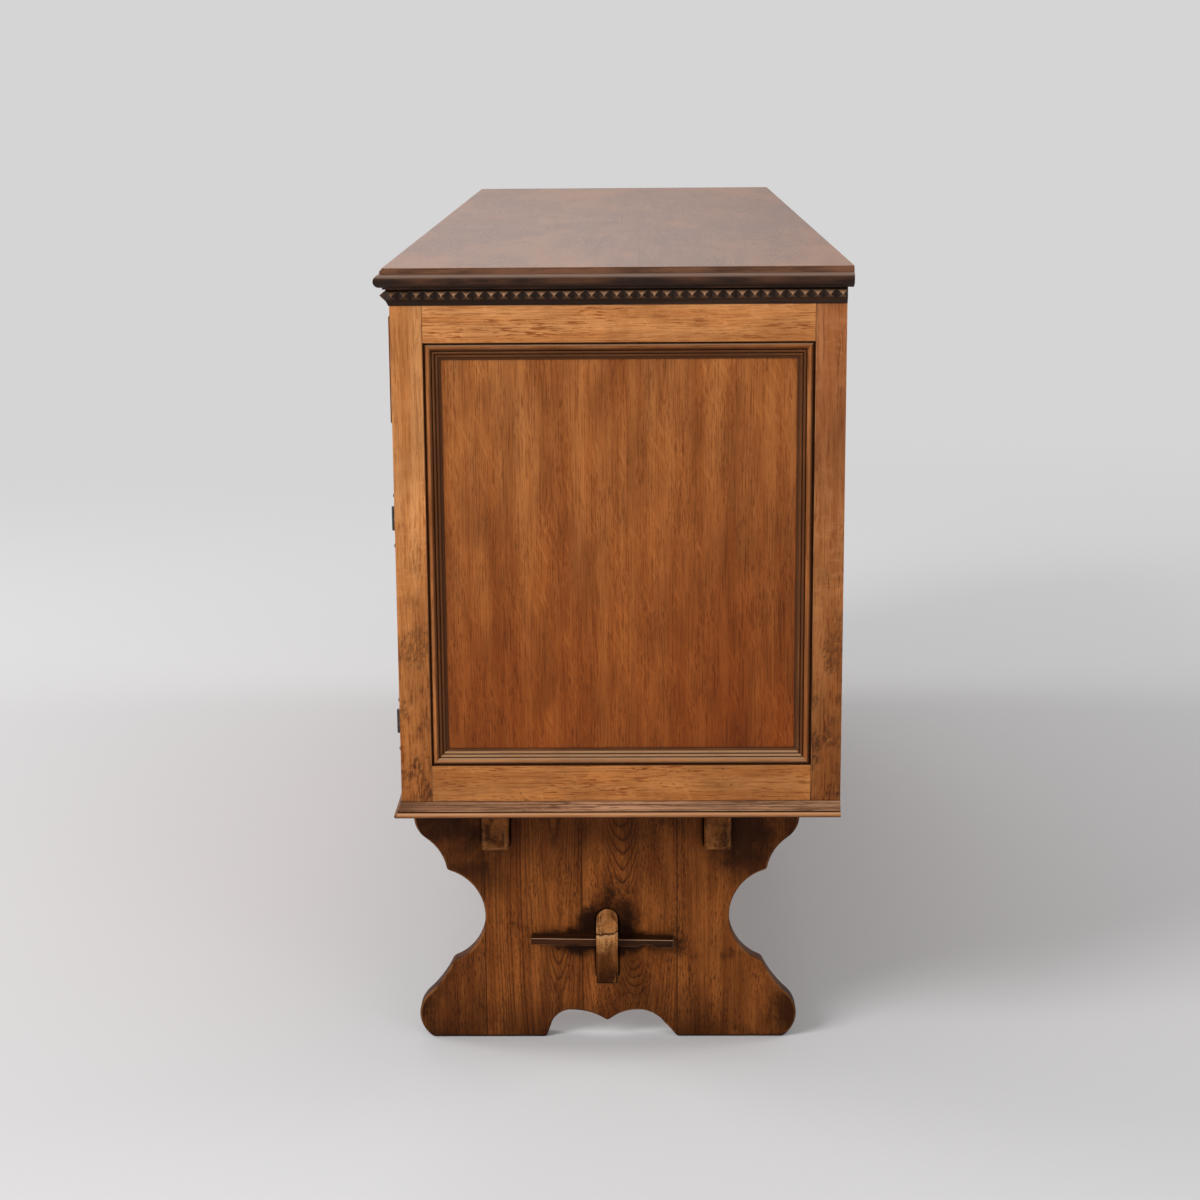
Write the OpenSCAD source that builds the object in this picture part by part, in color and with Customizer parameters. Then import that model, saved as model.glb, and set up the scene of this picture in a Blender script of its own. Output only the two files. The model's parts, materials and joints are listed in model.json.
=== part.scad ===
// Oak sideboard on trestle ends: three drawers over three cupboard doors.
// Origin at the floor under the middle of the top. X runs along the length, the front faces -Y, Z is up.

/* [Case] */
// Length of the case between its end faces
case_len = 1680; // [1400:10:1900]
// Depth of the case from its front face to its back face
case_depth = 476; // [400:2:560]
// Height of the case without its top
case_h = 572; // [520:2:640]
// Height of the trestles, from the floor to the underside of the case
leg_h = 286; // [270:2:320]

/* [Top] */
// Thickness of the top boards
top_t = 22; // [18:0.5:28]
// How far the moulded edge stands out over the front and the ends
top_over = 15; // [13:0.5:24]
// How far the square back edge stands out over the back
top_back_over = 6; // [0:0.5:20]
// Radius of the round nose of the edge
nose_r = 6.7; // [5:0.1:8.5]
// Height of the nose above the underside of the top
nose_low = 2; // [0.2:0.2:2.6]
// How far the flat of the top runs past the case face
top_flat_over = 6.3; // [2:0.1:7]
// Width of the sloping ledge below the flat
top_ledge_w = 2.2; // [0.5:0.1:3]
// Height of the step from the flat down to the ledge
top_step = 1; // [0.6:0.1:2]
// Height through which the ledge slopes down
top_slope = 2; // [1:0.1:3]
// Width of the front board, measured from the front face of the case to the seam
seam_y = 261; // [180:1:300]

/* [Nailhead moulding] */
// Height of the nailhead moulding
nail_h = 17.4; // [15:0.1:24]
// How far its flat face stands out from the case
nail_face = 3; // [2:0.2:5]
// How far the points stand out from the case
nail_point = 10.4; // [6:0.1:12]
// Height of one nailhead
nail_size = 11.2; // [8:0.2:13]
// Width that each nailhead is nearest to
nail_pitch = 13.15; // [10:0.05:18]
// Height of the point above the bottom of the moulding
nail_point_z = 10.6; // [8:0.1:12]
// Thickness left at the bottom edge
nail_foot = 0.8; // [0.4:0.1:2]

/* [Base moulding] */
// Height of the base moulding
base_h = 17.4; // [14:0.2:24]
// Radius of its bead
base_bead_r = 3; // [2:0.1:3.6]
// How far the bead stands out from the case
base_over = 8.1; // [6:0.1:12]
// Thickness of the moulding at its top edge
base_lip = 1.6; // [1:0.1:2.6]
// Height and depth of the quirk above the bead
base_quirk = 1.2; // [0.8:0.1:1.6]
// Height of the upright band above the quirk
base_band = 1.2; // [0.6:0.1:2]
// Height of the upright top edge
base_edge = 2.6; // [1.5:0.1:3]

/* [Frame] */
// Width of the corner posts seen from the front
post_w = 45; // [38:1:60]
// Depth of the front posts seen from the end
front_post_d = 33.5; // [30:0.5:45]
// Depth of the back posts seen from the end
back_post_d = 32.2; // [30:0.5:45]
// Width of the two muntins between the bays
muntin_w = 40; // [38:1:60]
// Thickness of the rails and muntins
rail_t = 22; // [20:0.5:28]
// Height of the front top rail
top_rail_h = 29; // [26:1:50]
// Height of the drawer openings
drawer_open_h = 122; // [100:1:150]
// Height of the rails between drawers and doors
mid_rail_h = 35; // [30:1:50]
// Height of the front bottom rail
bottom_rail_h = 32; // [28:1:50]
// Height of the top rail of each end
end_top_rail_h = 56.5; // [45:0.5:80]
// Height of the bottom rail of each end
end_bottom_rail_h = 57; // [45:0.5:80]
// Length of the hidden tenons
tenon_len = 18; // [12:1:19]
// Thickness of the hidden tenons
tenon_t = 8; // [6:0.5:9]
// Shoulder above and below each hidden tenon
tenon_shoulder = 8; // [7:0.5:10]
// Glue line between the pieces of one joint
glue = 0.1; // [0.05:0.05:0.2]

/* [Panels] */
// Thickness of the panels
panel_t = 6; // [4:0.5:8]
// Depth of the panel face behind the frame face
panel_recess = 7.5; // [6:0.5:9]
// Depth of the grooves that hold the panels
groove_d = 6; // [4:0.5:7]
// Width of the stepped moulding round a panel
trim_w = 18; // [16:0.5:24]
// Height of the trim above what it lies on
trim_h = 6.5; // [5:0.1:7]
// Width of the dark quirk outside the bead of the trim
trim_quirk = 2.2; // [1:0.1:3]
// Radius of the bead of the trim
trim_bead_r = 3.1; // [2.5:0.1:3.5]
// Width of each step of the trim
trim_step_w = 2.9; // [2:0.1:3.2]
// Width of the grooves between the steps
trim_gap = 0.7; // [0.4:0.1:1]
// Height of the upper step of the trim
trim_step_high = 4.3; // [3.6:0.1:4.8]
// Height of the lower step of the trim
trim_step_low = 2.8; // [2.2:0.1:3.2]
// Height of the grooves' bottoms above what the trim lies on
trim_floor = 1.2; // [0.8:0.1:2]

/* [Drawers] */
// Gap round each drawer front
drawer_gap = 1; // [0.6:0.1:2]
// Thickness of the drawer fronts
drawer_front_t = 19; // [16:0.5:24]
// Thickness of the drawer sides and backs
drawer_side_t = 10; // [8:0.5:14]
// Height of the drawer sides
drawer_side_h = 100; // [70:1:112]
// Thickness of the drawer bottoms
drawer_bottom_t = 5; // [3:0.5:8]
// Height of the drawer bottom above the lower edge of the sides
drawer_bottom_up = 8; // [6:0.5:14]
// Running clearance between the drawer sides and their runners
runner_clear = 0.3; // [0.2:0.1:0.6]
// Space behind a closed drawer
drawer_back_gap = 12; // [6:1:40]
// Length of the dovetails
dovetail_len = 12; // [8:0.5:13]
// Width of a dovetail at its root
dovetail_w = 18; // [14:0.5:22]
// How much each side of a dovetail flares out towards its end
dovetail_flare = 2.5; // [1:0.5:4]
// Number of dovetails at each corner
dovetail_count = 3; // [2:1:3]

/* [Doors] */
// Gap round each door
door_gap = 1.5; // [1:0.1:2.5]
// Thickness of the door frames
door_t = 20; // [18:0.5:24]
// Width of the door stiles and rails
door_stile_w = 50; // [45:1:70]

/* [Hinges] */
// Radius of the hinge barrel
barrel_r = 3.6; // [3:0.1:5]
// Height of the hinge barrel
barrel_h = 26; // [20:1:34]
// Radius of the hinge pin
hinge_pin_r = 1.8; // [1.4:0.1:2.2]
// Running clearance of the hinge pin
pin_clear = 0.05; // [0.02:0.01:0.1]
// Gap between the knuckles
knuckle_gap = 0.3; // [0.2:0.1:0.6]
// Distance from the barrel to the face that the hinge lies on
barrel_lift = 0.2; // [0.1:0.1:0.5]
// Thickness of the hinge leaves
leaf_t = 2; // [1.5:0.1:2.6]
// Width of the hinge leaves
leaf_w = 16; // [12:0.5:18]
// Length of the straight part of the hinge leaves
leaf_h = 66; // [56:1:90]
// Distance from the hinge axis to the leaves
leaf_off = 5.5; // [5:0.1:8]
// Height of the hinge centres above and below the middle of the door
hinge_off = 113; // [90:1:130]
// Height of the outer nails above and below the hinge centre
nail_off = 27.4; // [18:0.2:30]
// Radius of the nail heads
nailhead_r = 3.4; // [2.5:0.1:4]
// Height of the nail heads
nailhead_h = 2.2; // [1.5:0.1:3]

/* [Drop handles] */
// Thickness of the backplate
plate_t = 1.5; // [1:0.1:2]
// Radius of the round middle of the backplate
plate_r = 13; // [10:0.5:16]
// Height of the backplate between its end lobes
plate_h = 40; // [34:1:50]
// Half the width of the backplate's taper at its middle
plate_taper = 9; // [6:0.5:12]
// Rim of the backplate round its nails
plate_rim = 1.2; // [0.8:0.1:2]
// Distance from the face to the pin of the drop
drop_off = 8.2; // [8:0.1:9]
// Radius of the pin of the drop
drop_pin_r = 1.4; // [1:0.1:1.8]
// Radius of the knuckle and the ears
drop_eye_r = 3; // [2.5:0.1:3.5]
// Width of the knuckle of the drop
drop_eye_w = 5.8; // [4:0.1:8]
// Thickness of each ear of the backplate
drop_ear_t = 2; // [1.5:0.1:3]
// Height of the pin above the middle of the backplate
drop_pin_up = 8; // [4:0.5:10]
// Length of the drop below its pin
drop_len = 42; // [34:1:50]
// Largest radius of the drop
drop_r = 5.4; // [4.5:0.1:5.5]
// Radius of the neck of the drop
drop_neck_r = 1.8; // [1.4:0.1:2.4]
// Radius of the collar on its neck
drop_collar_r = 2.5; // [2.4:0.1:3.2]
// Radius of the tip of the drop
drop_tip_r = 1.6; // [1:0.1:2]

/* [Inside] */
// Thickness of the partitions and shelves
board_t = 16; // [12:0.5:20]
// Thickness of the bottom of the case
floor_t = 16; // [12:0.5:20]
// Thickness of the back panel
back_t = 5; // [3:0.5:8]
// Width of the rebate that the back panel lies in
rebate_w = 12; // [8:0.5:20]
// Height of the back rails
back_rail_h = 40; // [36:1:60]
// Height of the shelf above the bottom of the case
shelf_up = 172; // [120:2:200]
// Space between the shelf and the back of a closed door
shelf_set = 40; // [10:2:120]
// Width of the shelf cleats
cleat_w = 18; // [12:1:24]
// Height of the shelf cleats
cleat_h = 20; // [12:1:30]
// Height of the stop behind each door
stop_h = 60; // [30:5:100]
// How far each stop reaches behind its door
stop_reach = 12; // [8:1:20]
// Clearance between a closed door and its stop
stop_clear = 0.3; // [0.2:0.1:1]
// Height of the drawer runners and kickers
runner_h = 20; // [14:1:24]
// Width of the ledge that a drawer side slides on
runner_ledge = 20; // [14:1:30]

/* [Trestles] */
// Thickness of the trestle boards
trestle_t = 22; // [18:0.5:35]
// Distance from the end face of the case to the trestle
trestle_in = 74; // [50:1:160]
// Distance from the front face of the case to the front edge of the trestle
trestle_set = 5.3; // [0:0.1:20]
// Half the width of the trestle at its top
trestle_top_half = 216; // [205:1:226]
// Radius of the rounded lobe under the top
top_lobe_r = 30.5; // [24:0.5:36]
// Height of the straight edge above that lobe
top_lobe_down = 24; // [16:1:34]
// Radius of the hollow under the top lobe
top_hollow_r = 55.4; // [45:0.2:65]
// Angle at which the top lobe turns into its hollow
top_turn = 55; // [45:1:62]
// Radius of the hollow of the waist
waist_r = 56.4; // [50:0.2:60]
// Half the width of the trestle at its waist
waist_half = 137.7; // [125:0.5:145]
// Height of the waist above the floor
waist_z = 145; // [140:1:150]
// Half the width of the trestle at its feet
foot_half = 214.2; // [205:0.2:222]
// Radius of the round front of each foot
foot_lobe_r = 33.6; // [30:0.2:38]
// Height of the widest point of the foot
foot_lobe_z = 28; // [20:1:30]
// Radius of the long hollow above the foot
foot_hollow_r = 121; // [100:1:140]
// Angle at which the foot turns into its hollow
foot_turn = 47.5; // [44:0.5:51]
// Angle at which that hollow meets the waist
hollow_end = 23; // [20:0.5:26]
// Height of the two crests of the arch under the trestle
arch_h = 32; // [28:0.5:36]
// Height of the point between the crests
arch_point = 18.8; // [16:0.2:22]
// Distance from the middle of the trestle to the crest on its front side
crest_front = 41; // [38:0.5:44]
// Distance from the middle of the trestle to the crest on its back side
crest_back = 34; // [32:0.5:37]
// Radius of the outer side of the front crest
crest_front_r = 25; // [20:0.5:27]
// Radius of the outer side of the back crest
crest_back_r = 38; // [34:0.5:40]
// Reach of the arch to the front at the floor
arch_front = 70; // [68:0.5:80]
// Reach of the arch to the back at the floor
arch_back = 79; // [76:0.5:82]
// How far the outer side of a crest would rise above its inner side
crest_rise = 0.15; // [0.1:0.05:0.3]
// How far the straight flanks of the arch cut into its round crests
arch_bite = 0.1; // [0.05:0.05:0.3]

/* [Bearers and stretcher] */
// Thickness of the two bearers
bearer_t = 30; // [24:1:40]
// Height of the bearers
bearer_h = 57; // [40:1:70]
// Distance from the middle of the trestle to each bearer
bearer_off = 124; // [100:1:140]
// How far the bearers stand out from the trestles
bearer_out = 22; // [10:1:40]
// Chamfer of the ends of the bearers
bearer_chamfer = 3; // [1:0.5:5]
// Thickness of the stretcher
stretcher_t = 29; // [27:0.5:35]
// Height of the stretcher
stretcher_h = 104; // [96:1:120]
// Height of the lower edge of the stretcher above the floor
stretcher_z = 68; // [60:1:72]
// Thickness of the through tenon
through_t = 24; // [20:0.5:26]
// Height of the through tenon
through_h = 78; // [75:1:90]
// Height of the lower edge of the through tenon above the floor
through_z = 75; // [73:1:80]
// How far the through tenon stands out from the trestle
through_out = 30; // [26:1:50]
// Radius that rounds the outer end of the tenon at its top
through_round = 14; // [6:1:24]
// Play of the through tenon in its mortise
through_play = 0.2; // [0.1:0.05:0.4]
// Chamfer of the end of the tenon
through_chamfer = 2.5; // [1:0.5:4]
// Length of the wedge
wedge_len = 160; // [120:2:200]
// How far the wedge reaches to the front of the tenon's middle
wedge_front = 85.4; // [60:1:100]
// Depth of the wedge from the trestle outwards
wedge_d = 17; // [10:0.5:19]
// Height of the wedge at its thick end
wedge_h = 9.5; // [7:0.5:14]
// Height of the wedge at its thin end
wedge_thin = 7.5; // [4:0.5:7.5]
// Height of the top of the wedge above the floor, at its thin end
wedge_z = 125; // [115:1:130]
// How far the top of the wedge falls towards its thick end
wedge_fall = 2.7; // [0:0.1:4]
// Radius of the scallop under the wedge
scallop_r = 16; // [10:1:24]
// Depth of the scallop
scallop_d = 4.5; // [2:0.5:5]
// Distance from the tenon's middle to the scallop
scallop_off = 44; // [30:1:50]

/* [Hidden] */
$fn = 48;

// Colours of the waxed oak and the iron
oak_light = [0.72, 0.44, 0.22];
oak_panel = [0.60, 0.33, 0.16];
oak_dark = [0.17, 0.10, 0.07];
oak_top = [0.56, 0.42, 0.36];
oak_trestle = [0.44, 0.23, 0.10];
oak_inside = [0.66, 0.50, 0.33];
iron = [0.09, 0.08, 0.08];

// Main planes
top_depth = case_depth + top_over + top_back_over;
x_end = case_len / 2;
y_front = top_over - top_depth / 2;
y_back = y_front + case_depth;
z_case = leg_h;
z_case_top = leg_h + case_h;
z_top = z_case_top + top_t;

// Front frame
z_floor = z_case + floor_t;
z_door_low = z_case + bottom_rail_h;
z_drawer_high = z_case_top - top_rail_h;
z_drawer_low = z_drawer_high - drawer_open_h;
z_door_high = z_drawer_low - mid_rail_h;
door_z = (z_door_low + z_door_high) / 2;
bay_w = (case_len - 2 * post_w - 2 * muntin_w) / 3;
bay_step = bay_w + muntin_w;
LEFT = -1;
MIDDLE = 0;
RIGHT = 1;

// End frame
z_end_low = z_case + end_bottom_rail_h;
z_end_high = z_case_top - end_top_rail_h;
y_end_front = y_front + front_post_d;
y_end_back = y_back - back_post_d;

// Back frame
y_back_rail = y_back - back_t;
y_inside_back = y_back_rail - rail_t;

// Trestles, bearers and stretcher
x_trestle = x_end - trestle_in;
y_trestle = y_front + trestle_set + trestle_top_half;
// How far the valleys between the points stand out past the flat face of the moulding
valley_out = 0.2;
nail_valley = nail_face + valley_out;
hinge_lift = barrel_lift + barrel_r;
hinge_zs = [door_z - hinge_off, door_z + hinge_off];
knuckle_h = (barrel_h - 2 * knuckle_gap) / 3;
drawer_len = y_inside_back - drawer_back_gap - y_front;
// Play that keeps the drop clear of its ears
ear_gap = 0.3;
// Overlap that lets a cut run past a face
past = 1;

// Left edge of a bay, where bay is LEFT, MIDDLE or RIGHT
function bay_x(bay) = bay * bay_step - bay_w / 2;

// Side on which the door of a bay hangs: 1 is its right edge, -1 its left edge
function hinge_side(bay) = bay == RIGHT ? 1 : -1;

// Place of the hinge axis of a bay along the length
function hinge_x(bay) = bay * bay_step + hinge_side(bay) * (bay_w - door_gap) / 2;

// Box between two opposite corners
module block(low, high) {
    translate(low) cube(high - low);
}

// Extrudes a section drawn in Y and Z along X
module along_x(x0, x1) {
    translate([x0, 0, 0]) rotate([90, 0, 90]) linear_extrude(height = x1 - x0) children();
}

// Extrudes a section drawn in X and Z along Y
module along_y(y0, y1) {
    translate([0, y1, 0]) rotate([90, 0, 0]) linear_extrude(height = y1 - y0) children();
}

// Draws its children at the right end and mirrored at the left end
module both_ends() {
    children();
    mirror([1, 0, 0]) children();
}

// Section of the top at a moulded edge, from the case face outwards, with a flat of the given width behind
module top_edge(flat) {
    ledge_x = top_flat_over + top_ledge_w;
    ledge_z = top_t - top_step;
    nose_z = nose_low + nose_r;
    polygon([[-flat, 0], [top_flat_over, 0], [top_flat_over, nose_z], [ledge_x, nose_z],
        [ledge_x, ledge_z - top_slope], [top_flat_over, ledge_z], [top_flat_over, top_t], [-flat, top_t]]);
    translate([-flat, nose_low]) square([flat + top_over - nose_r, 2 * nose_r]);
    translate([top_over - nose_r, nose_z]) circle(r = nose_r);
}

// Whole top with mitred moulded edges at the front and the ends
module top_slab() {
    intersection() {
        along_x(-x_end - top_over - past, x_end + top_over + past)
            translate([y_front, z_case_top]) mirror([1, 0]) top_edge(case_depth + top_back_over);
        along_y(y_front - top_over - past, y_back + top_back_over + past)
            translate([0, z_case_top]) {
                translate([x_end, 0]) top_edge(x_end);
                mirror([1, 0]) translate([x_end, 0]) top_edge(x_end);
            }
    }
}

module top_front_board() {
    color(oak_top)
    intersection() {
        top_slab();
        block([-case_len, y_front - case_depth, z_case_top - past],
            [case_len, y_front + seam_y, z_top + past]);
    }
}

module top_back_board() {
    color(oak_top)
    intersection() {
        top_slab();
        block([-case_len, y_front + seam_y, z_case_top - past],
            [case_len, y_back + case_depth, z_top + past]);
    }
}

// Section of the nailhead moulding, from the case face outwards, with the ridge of the points
module nail_section() {
    low = nail_point_z - nail_size / 2;
    high = nail_point_z + nail_size / 2;
    polygon([[0, 0], [nail_foot, 0], [nail_face, low], [nail_point, nail_point_z],
        [nail_face, high], [nail_face, nail_h], [0, nail_h]]);
}

// Zigzag plan of a run of nailheads, from the case face outwards, starting at a mitred corner
module nail_plan(run, mitre_end) {
    count = round(run / nail_pitch);
    step = run / count;
    teeth = [for (i = [0:count - 1]) each
        [[(i + 0.5) * step, nail_point], [(i + 1) * step, nail_valley]]];
    polygon(concat([[nail_valley, 0], [0, nail_valley]], teeth, [[run - (mitre_end ? nail_valley : 0), 0]]));
}

module nailhead_moulding_front() {
    run = case_len + 2 * nail_valley;
    color(oak_dark)
    intersection() {
        along_x(-x_end - nail_point, x_end + nail_point)
            translate([y_front, z_case_top - nail_h]) mirror([1, 0]) nail_section();
        translate([-run / 2, y_front, z_case_top - nail_h - past])
            linear_extrude(height = nail_h + 2 * past) mirror([0, 1]) nail_plan(run, true);
    }
}

module nailhead_moulding_ends() {
    run = case_depth + nail_valley + past;
    color(oak_dark)
    both_ends() intersection() {
        along_y(y_front - nail_point, y_back)
            translate([x_end, z_case_top - nail_h]) nail_section();
        translate([x_end, y_front - nail_valley, z_case_top - nail_h - past])
            linear_extrude(height = nail_h + 2 * past)
                mirror([1, 0]) rotate([0, 0, 90]) nail_plan(run, false);
    }
}

// Section of the base moulding, from the case face outwards
module base_section() {
    bead_x = base_over - base_bead_r;
    neck_x = bead_x - base_quirk;
    band_z = 2 * base_bead_r + base_quirk;
    square([bead_x, 2 * base_bead_r]);
    translate([bead_x, base_bead_r]) circle(r = base_bead_r);
    polygon([[0, 0], [neck_x, 0], [neck_x, band_z], [bead_x, band_z], [bead_x, band_z + base_band],
        [base_lip, base_h - base_edge], [base_lip, base_h], [0, base_h]]);
}

// Plan of the space in front of the case between its two front mitres
module front_mitre() {
    reach = 2 * base_over;
    polygon([[-x_end, y_front], [-x_end - reach, y_front - reach], [x_end + reach, y_front - reach],
        [x_end, y_front]]);
}

module base_moulding_front() {
    color(oak_dark)
    intersection() {
        along_x(-x_end - base_over, x_end + base_over)
            translate([y_front, z_case]) mirror([1, 0]) base_section();
        translate([0, 0, z_case - past]) linear_extrude(height = base_h + 2 * past) front_mitre();
    }
}

module base_moulding_ends() {
    reach = 2 * base_over;
    color(oak_dark)
    both_ends() intersection() {
        along_y(y_front - base_over, y_back) translate([x_end, z_case]) base_section();
        translate([0, 0, z_case - past]) linear_extrude(height = base_h + 2 * past)
            polygon([[x_end, y_front], [x_end + reach, y_front - reach], [x_end + reach, y_back],
                [x_end, y_back]]);
    }
}

// Space of the panel of an end frame, grooves included
module end_panel_space() {
    block([x_end - panel_recess - panel_t, y_end_front - groove_d, z_end_low - groove_d],
        [x_end - panel_recess, y_end_back + groove_d, z_end_high + groove_d]);
}

// Bar that makes the tenons at both ends of an end rail
module end_tenon_bar(z0, z1) {
    x_mid = x_end - rail_t / 2;
    block([x_mid - tenon_t / 2, y_end_front - tenon_len, z0 + tenon_shoulder],
        [x_mid + tenon_t / 2, y_end_back + tenon_len, z1 - tenon_shoulder]);
}

module end_tenon_bars() {
    end_tenon_bar(z_case, z_end_low);
    end_tenon_bar(z_end_high, z_case_top);
}

// Bar that makes the tenons of a rail along the front or back, centred on the given depth
module long_tenon_bar(x0, x1, y_mid, z0, z1) {
    block([x0 - tenon_len, y_mid - tenon_t / 2, z0 + tenon_shoulder],
        [x1 + tenon_len, y_mid + tenon_t / 2, z1 - tenon_shoulder]);
}

module front_tenon_bars() {
    y_mid = y_front + rail_t / 2;
    x_post = x_end - post_w;
    long_tenon_bar(-x_post, x_post, y_mid, z_case, z_door_low);
    long_tenon_bar(-x_post, x_post, y_mid, z_drawer_high, z_case_top);
    for (bay = [LEFT, MIDDLE, RIGHT])
        long_tenon_bar(bay_x(bay), bay_x(bay) + bay_w, y_mid, z_door_high, z_drawer_low);
}

// Lower edge of each of the three back rails
function back_rail_zs() = [z_case, z_drawer_low - back_rail_h, z_case_top - back_rail_h];

module back_tenon_bars() {
    for (z = back_rail_zs())
        long_tenon_bar(post_w - x_end, x_end - post_w, y_back_rail - rail_t / 2, z, z + back_rail_h);
}

// Space of the back panel, which lies in a rebate of the back posts
module back_panel_space() {
    block([post_w - rebate_w - x_end, y_back - back_t, z_case],
        [x_end - post_w + rebate_w, y_back, z_case_top]);
}

module front_post() {
    difference() {
        block([x_end - post_w, y_front, z_case], [x_end, y_end_front, z_case_top]);
        end_panel_space();
        end_tenon_bars();
        front_tenon_bars();
    }
}

module back_post() {
    difference() {
        block([x_end - post_w, y_end_back, z_case], [x_end, y_back, z_case_top]);
        end_panel_space();
        end_tenon_bars();
        back_tenon_bars();
        back_panel_space();
    }
}

module right_front_post() {
    color(oak_light) front_post();
}

module right_back_post() {
    color(oak_light) back_post();
}

module left_front_post() {
    color(oak_light) mirror([1, 0, 0]) front_post();
}

module left_back_post() {
    color(oak_light) mirror([1, 0, 0]) back_post();
}

module end_rails() {
    difference() {
        union() {
            block([x_end - rail_t, y_end_front, z_case], [x_end, y_end_back, z_end_low]);
            block([x_end - rail_t, y_end_front, z_end_high], [x_end, y_end_back, z_case_top]);
            end_tenon_bars();
        }
        end_panel_space();
    }
}

module right_end_rails() {
    color(oak_light) end_rails();
}

module left_end_rails() {
    color(oak_light) mirror([1, 0, 0]) end_rails();
}

module right_end_panel() {
    color(oak_panel) end_panel_space();
}

module left_end_panel() {
    color(oak_panel) mirror([1, 0, 0]) end_panel_space();
}

// Section of the stepped trim: distance from the frame edge, height above what it lies on
module trim_section() {
    bead_x = trim_quirk + trim_bead_r;
    step_1 = trim_quirk + 2 * trim_bead_r + trim_gap;
    step_2 = step_1 + trim_step_w + trim_gap;
    square([trim_w, trim_floor]);
    translate([trim_quirk, 0]) square([2 * trim_bead_r, trim_h - trim_bead_r]);
    translate([bead_x, trim_h - trim_bead_r]) circle(r = trim_bead_r);
    translate([step_1, 0]) square([trim_step_w, trim_step_high]);
    translate([step_2, 0]) square([trim_step_w, trim_step_low]);
}

// One mitred strip of trim, its outer edge along the local X axis and its back on the plane Z = 0
module trim_strip(run) {
    intersection() {
        rotate([90, 0, 90]) linear_extrude(height = run) trim_section();
        translate([0, 0, -past]) linear_extrude(height = trim_h + 2 * past)
            polygon([[glue, 0], [run - glue, 0], [run - glue - trim_w, trim_w], [glue + trim_w, trim_w]]);
    }
}

// Frame of four mitred strips in the local XY plane, from the origin to the given width and height
module trim_frame(w, h) {
    trim_strip(w);
    translate([w, h, 0]) rotate([0, 0, 180]) trim_strip(w);
    translate([w, 0, 0]) rotate([0, 0, 90]) trim_strip(h);
    translate([0, h, 0]) rotate([0, 0, -90]) trim_strip(h);
}

// Trim in the opening of an end frame
module end_trim() {
    translate([x_end - panel_recess, y_end_front, z_end_low]) rotate([90, 0, 90])
        trim_frame(y_end_back - y_end_front, z_end_high - z_end_low);
}

module right_end_trim() {
    color(oak_dark) end_trim();
}

module left_end_trim() {
    color(oak_dark) mirror([1, 0, 0]) end_trim();
}

// Two centre lines of the muntins
function muntin_xs() = [-bay_step / 2, bay_step / 2];

// Bars that make the tenons at the top and bottom of the muntins
module muntin_tenon_bars() {
    y_mid = y_front + rail_t / 2;
    for (x = muntin_xs())
        block([x - muntin_w / 2 + tenon_shoulder, y_mid - tenon_t / 2, z_door_low - tenon_len],
            [x + muntin_w / 2 - tenon_shoulder, y_mid + tenon_t / 2, z_drawer_high + tenon_len]);
}

module front_top_rail() {
    x_post = x_end - post_w;
    color(oak_light)
    difference() {
        union() {
            block([-x_post, y_front, z_drawer_high], [x_post, y_front + rail_t, z_case_top]);
            long_tenon_bar(-x_post, x_post, y_front + rail_t / 2, z_drawer_high, z_case_top);
        }
        muntin_tenon_bars();
    }
}

module front_bottom_rail() {
    x_post = x_end - post_w;
    color(oak_light)
    difference() {
        union() {
            block([-x_post, y_front, z_case], [x_post, y_front + rail_t, z_door_low]);
            long_tenon_bar(-x_post, x_post, y_front + rail_t / 2, z_case, z_door_low);
        }
        muntin_tenon_bars();
    }
}

module front_middle_rails() {
    color(oak_light)
    for (bay = [LEFT, MIDDLE, RIGHT]) {
        x0 = bay_x(bay);
        block([x0, y_front, z_door_high], [x0 + bay_w, y_front + rail_t, z_drawer_low]);
        long_tenon_bar(x0, x0 + bay_w, y_front + rail_t / 2, z_door_high, z_drawer_low);
    }
}

module front_muntins() {
    color(oak_light)
    difference() {
        union() {
            for (x = muntin_xs())
                block([x - muntin_w / 2, y_front, z_door_low],
                    [x + muntin_w / 2, y_front + rail_t, z_drawer_high]);
            muntin_tenon_bars();
        }
        for (bay = [LEFT, MIDDLE, RIGHT])
            long_tenon_bar(bay_x(bay), bay_x(bay) + bay_w, y_front + rail_t / 2, z_door_high, z_drawer_low);
    }
}

module partitions() {
    color(oak_inside)
    for (x = muntin_xs())
        block([x - board_t / 2, y_front + rail_t, z_floor], [x + board_t / 2, y_inside_back, z_case_top]);
}

module case_floor() {
    color(oak_inside)
    difference() {
        block([rail_t - x_end, y_front + rail_t, z_case], [x_end - rail_t, y_inside_back, z_floor]);
        both_ends() {
            block([x_end - post_w, y_front, z_case - past], [x_end, y_end_front, z_floor + past]);
            block([x_end - post_w, y_end_back, z_case - past], [x_end, y_back, z_floor + past]);
        }
    }
}

module back_rails() {
    color(oak_inside) {
        for (z = back_rail_zs())
            block([post_w - x_end, y_inside_back, z], [x_end - post_w, y_back_rail, z + back_rail_h]);
        back_tenon_bars();
    }
}

module back_panel() {
    color(oak_inside) back_panel_space();
}

// Width of a bay behind the frame: left and right limits between the partitions or end rails
function room_x0(bay) = bay == LEFT ? rail_t - x_end : bay * bay_step - bay_step / 2 + board_t / 2;
function room_x1(bay) = bay == RIGHT ? x_end - rail_t : bay * bay_step + bay_step / 2 - board_t / 2;

z_shelf = z_floor + shelf_up;
y_shelf = y_front + door_t + shelf_set;

module shelves() {
    color(oak_inside)
    difference() {
        for (bay = [LEFT, MIDDLE, RIGHT])
            block([room_x0(bay), y_shelf, z_shelf], [room_x1(bay), y_inside_back, z_shelf + board_t]);
        both_ends() block([x_end - post_w, y_end_back, z_case], [x_end, y_back, z_case_top]);
    }
}

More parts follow.
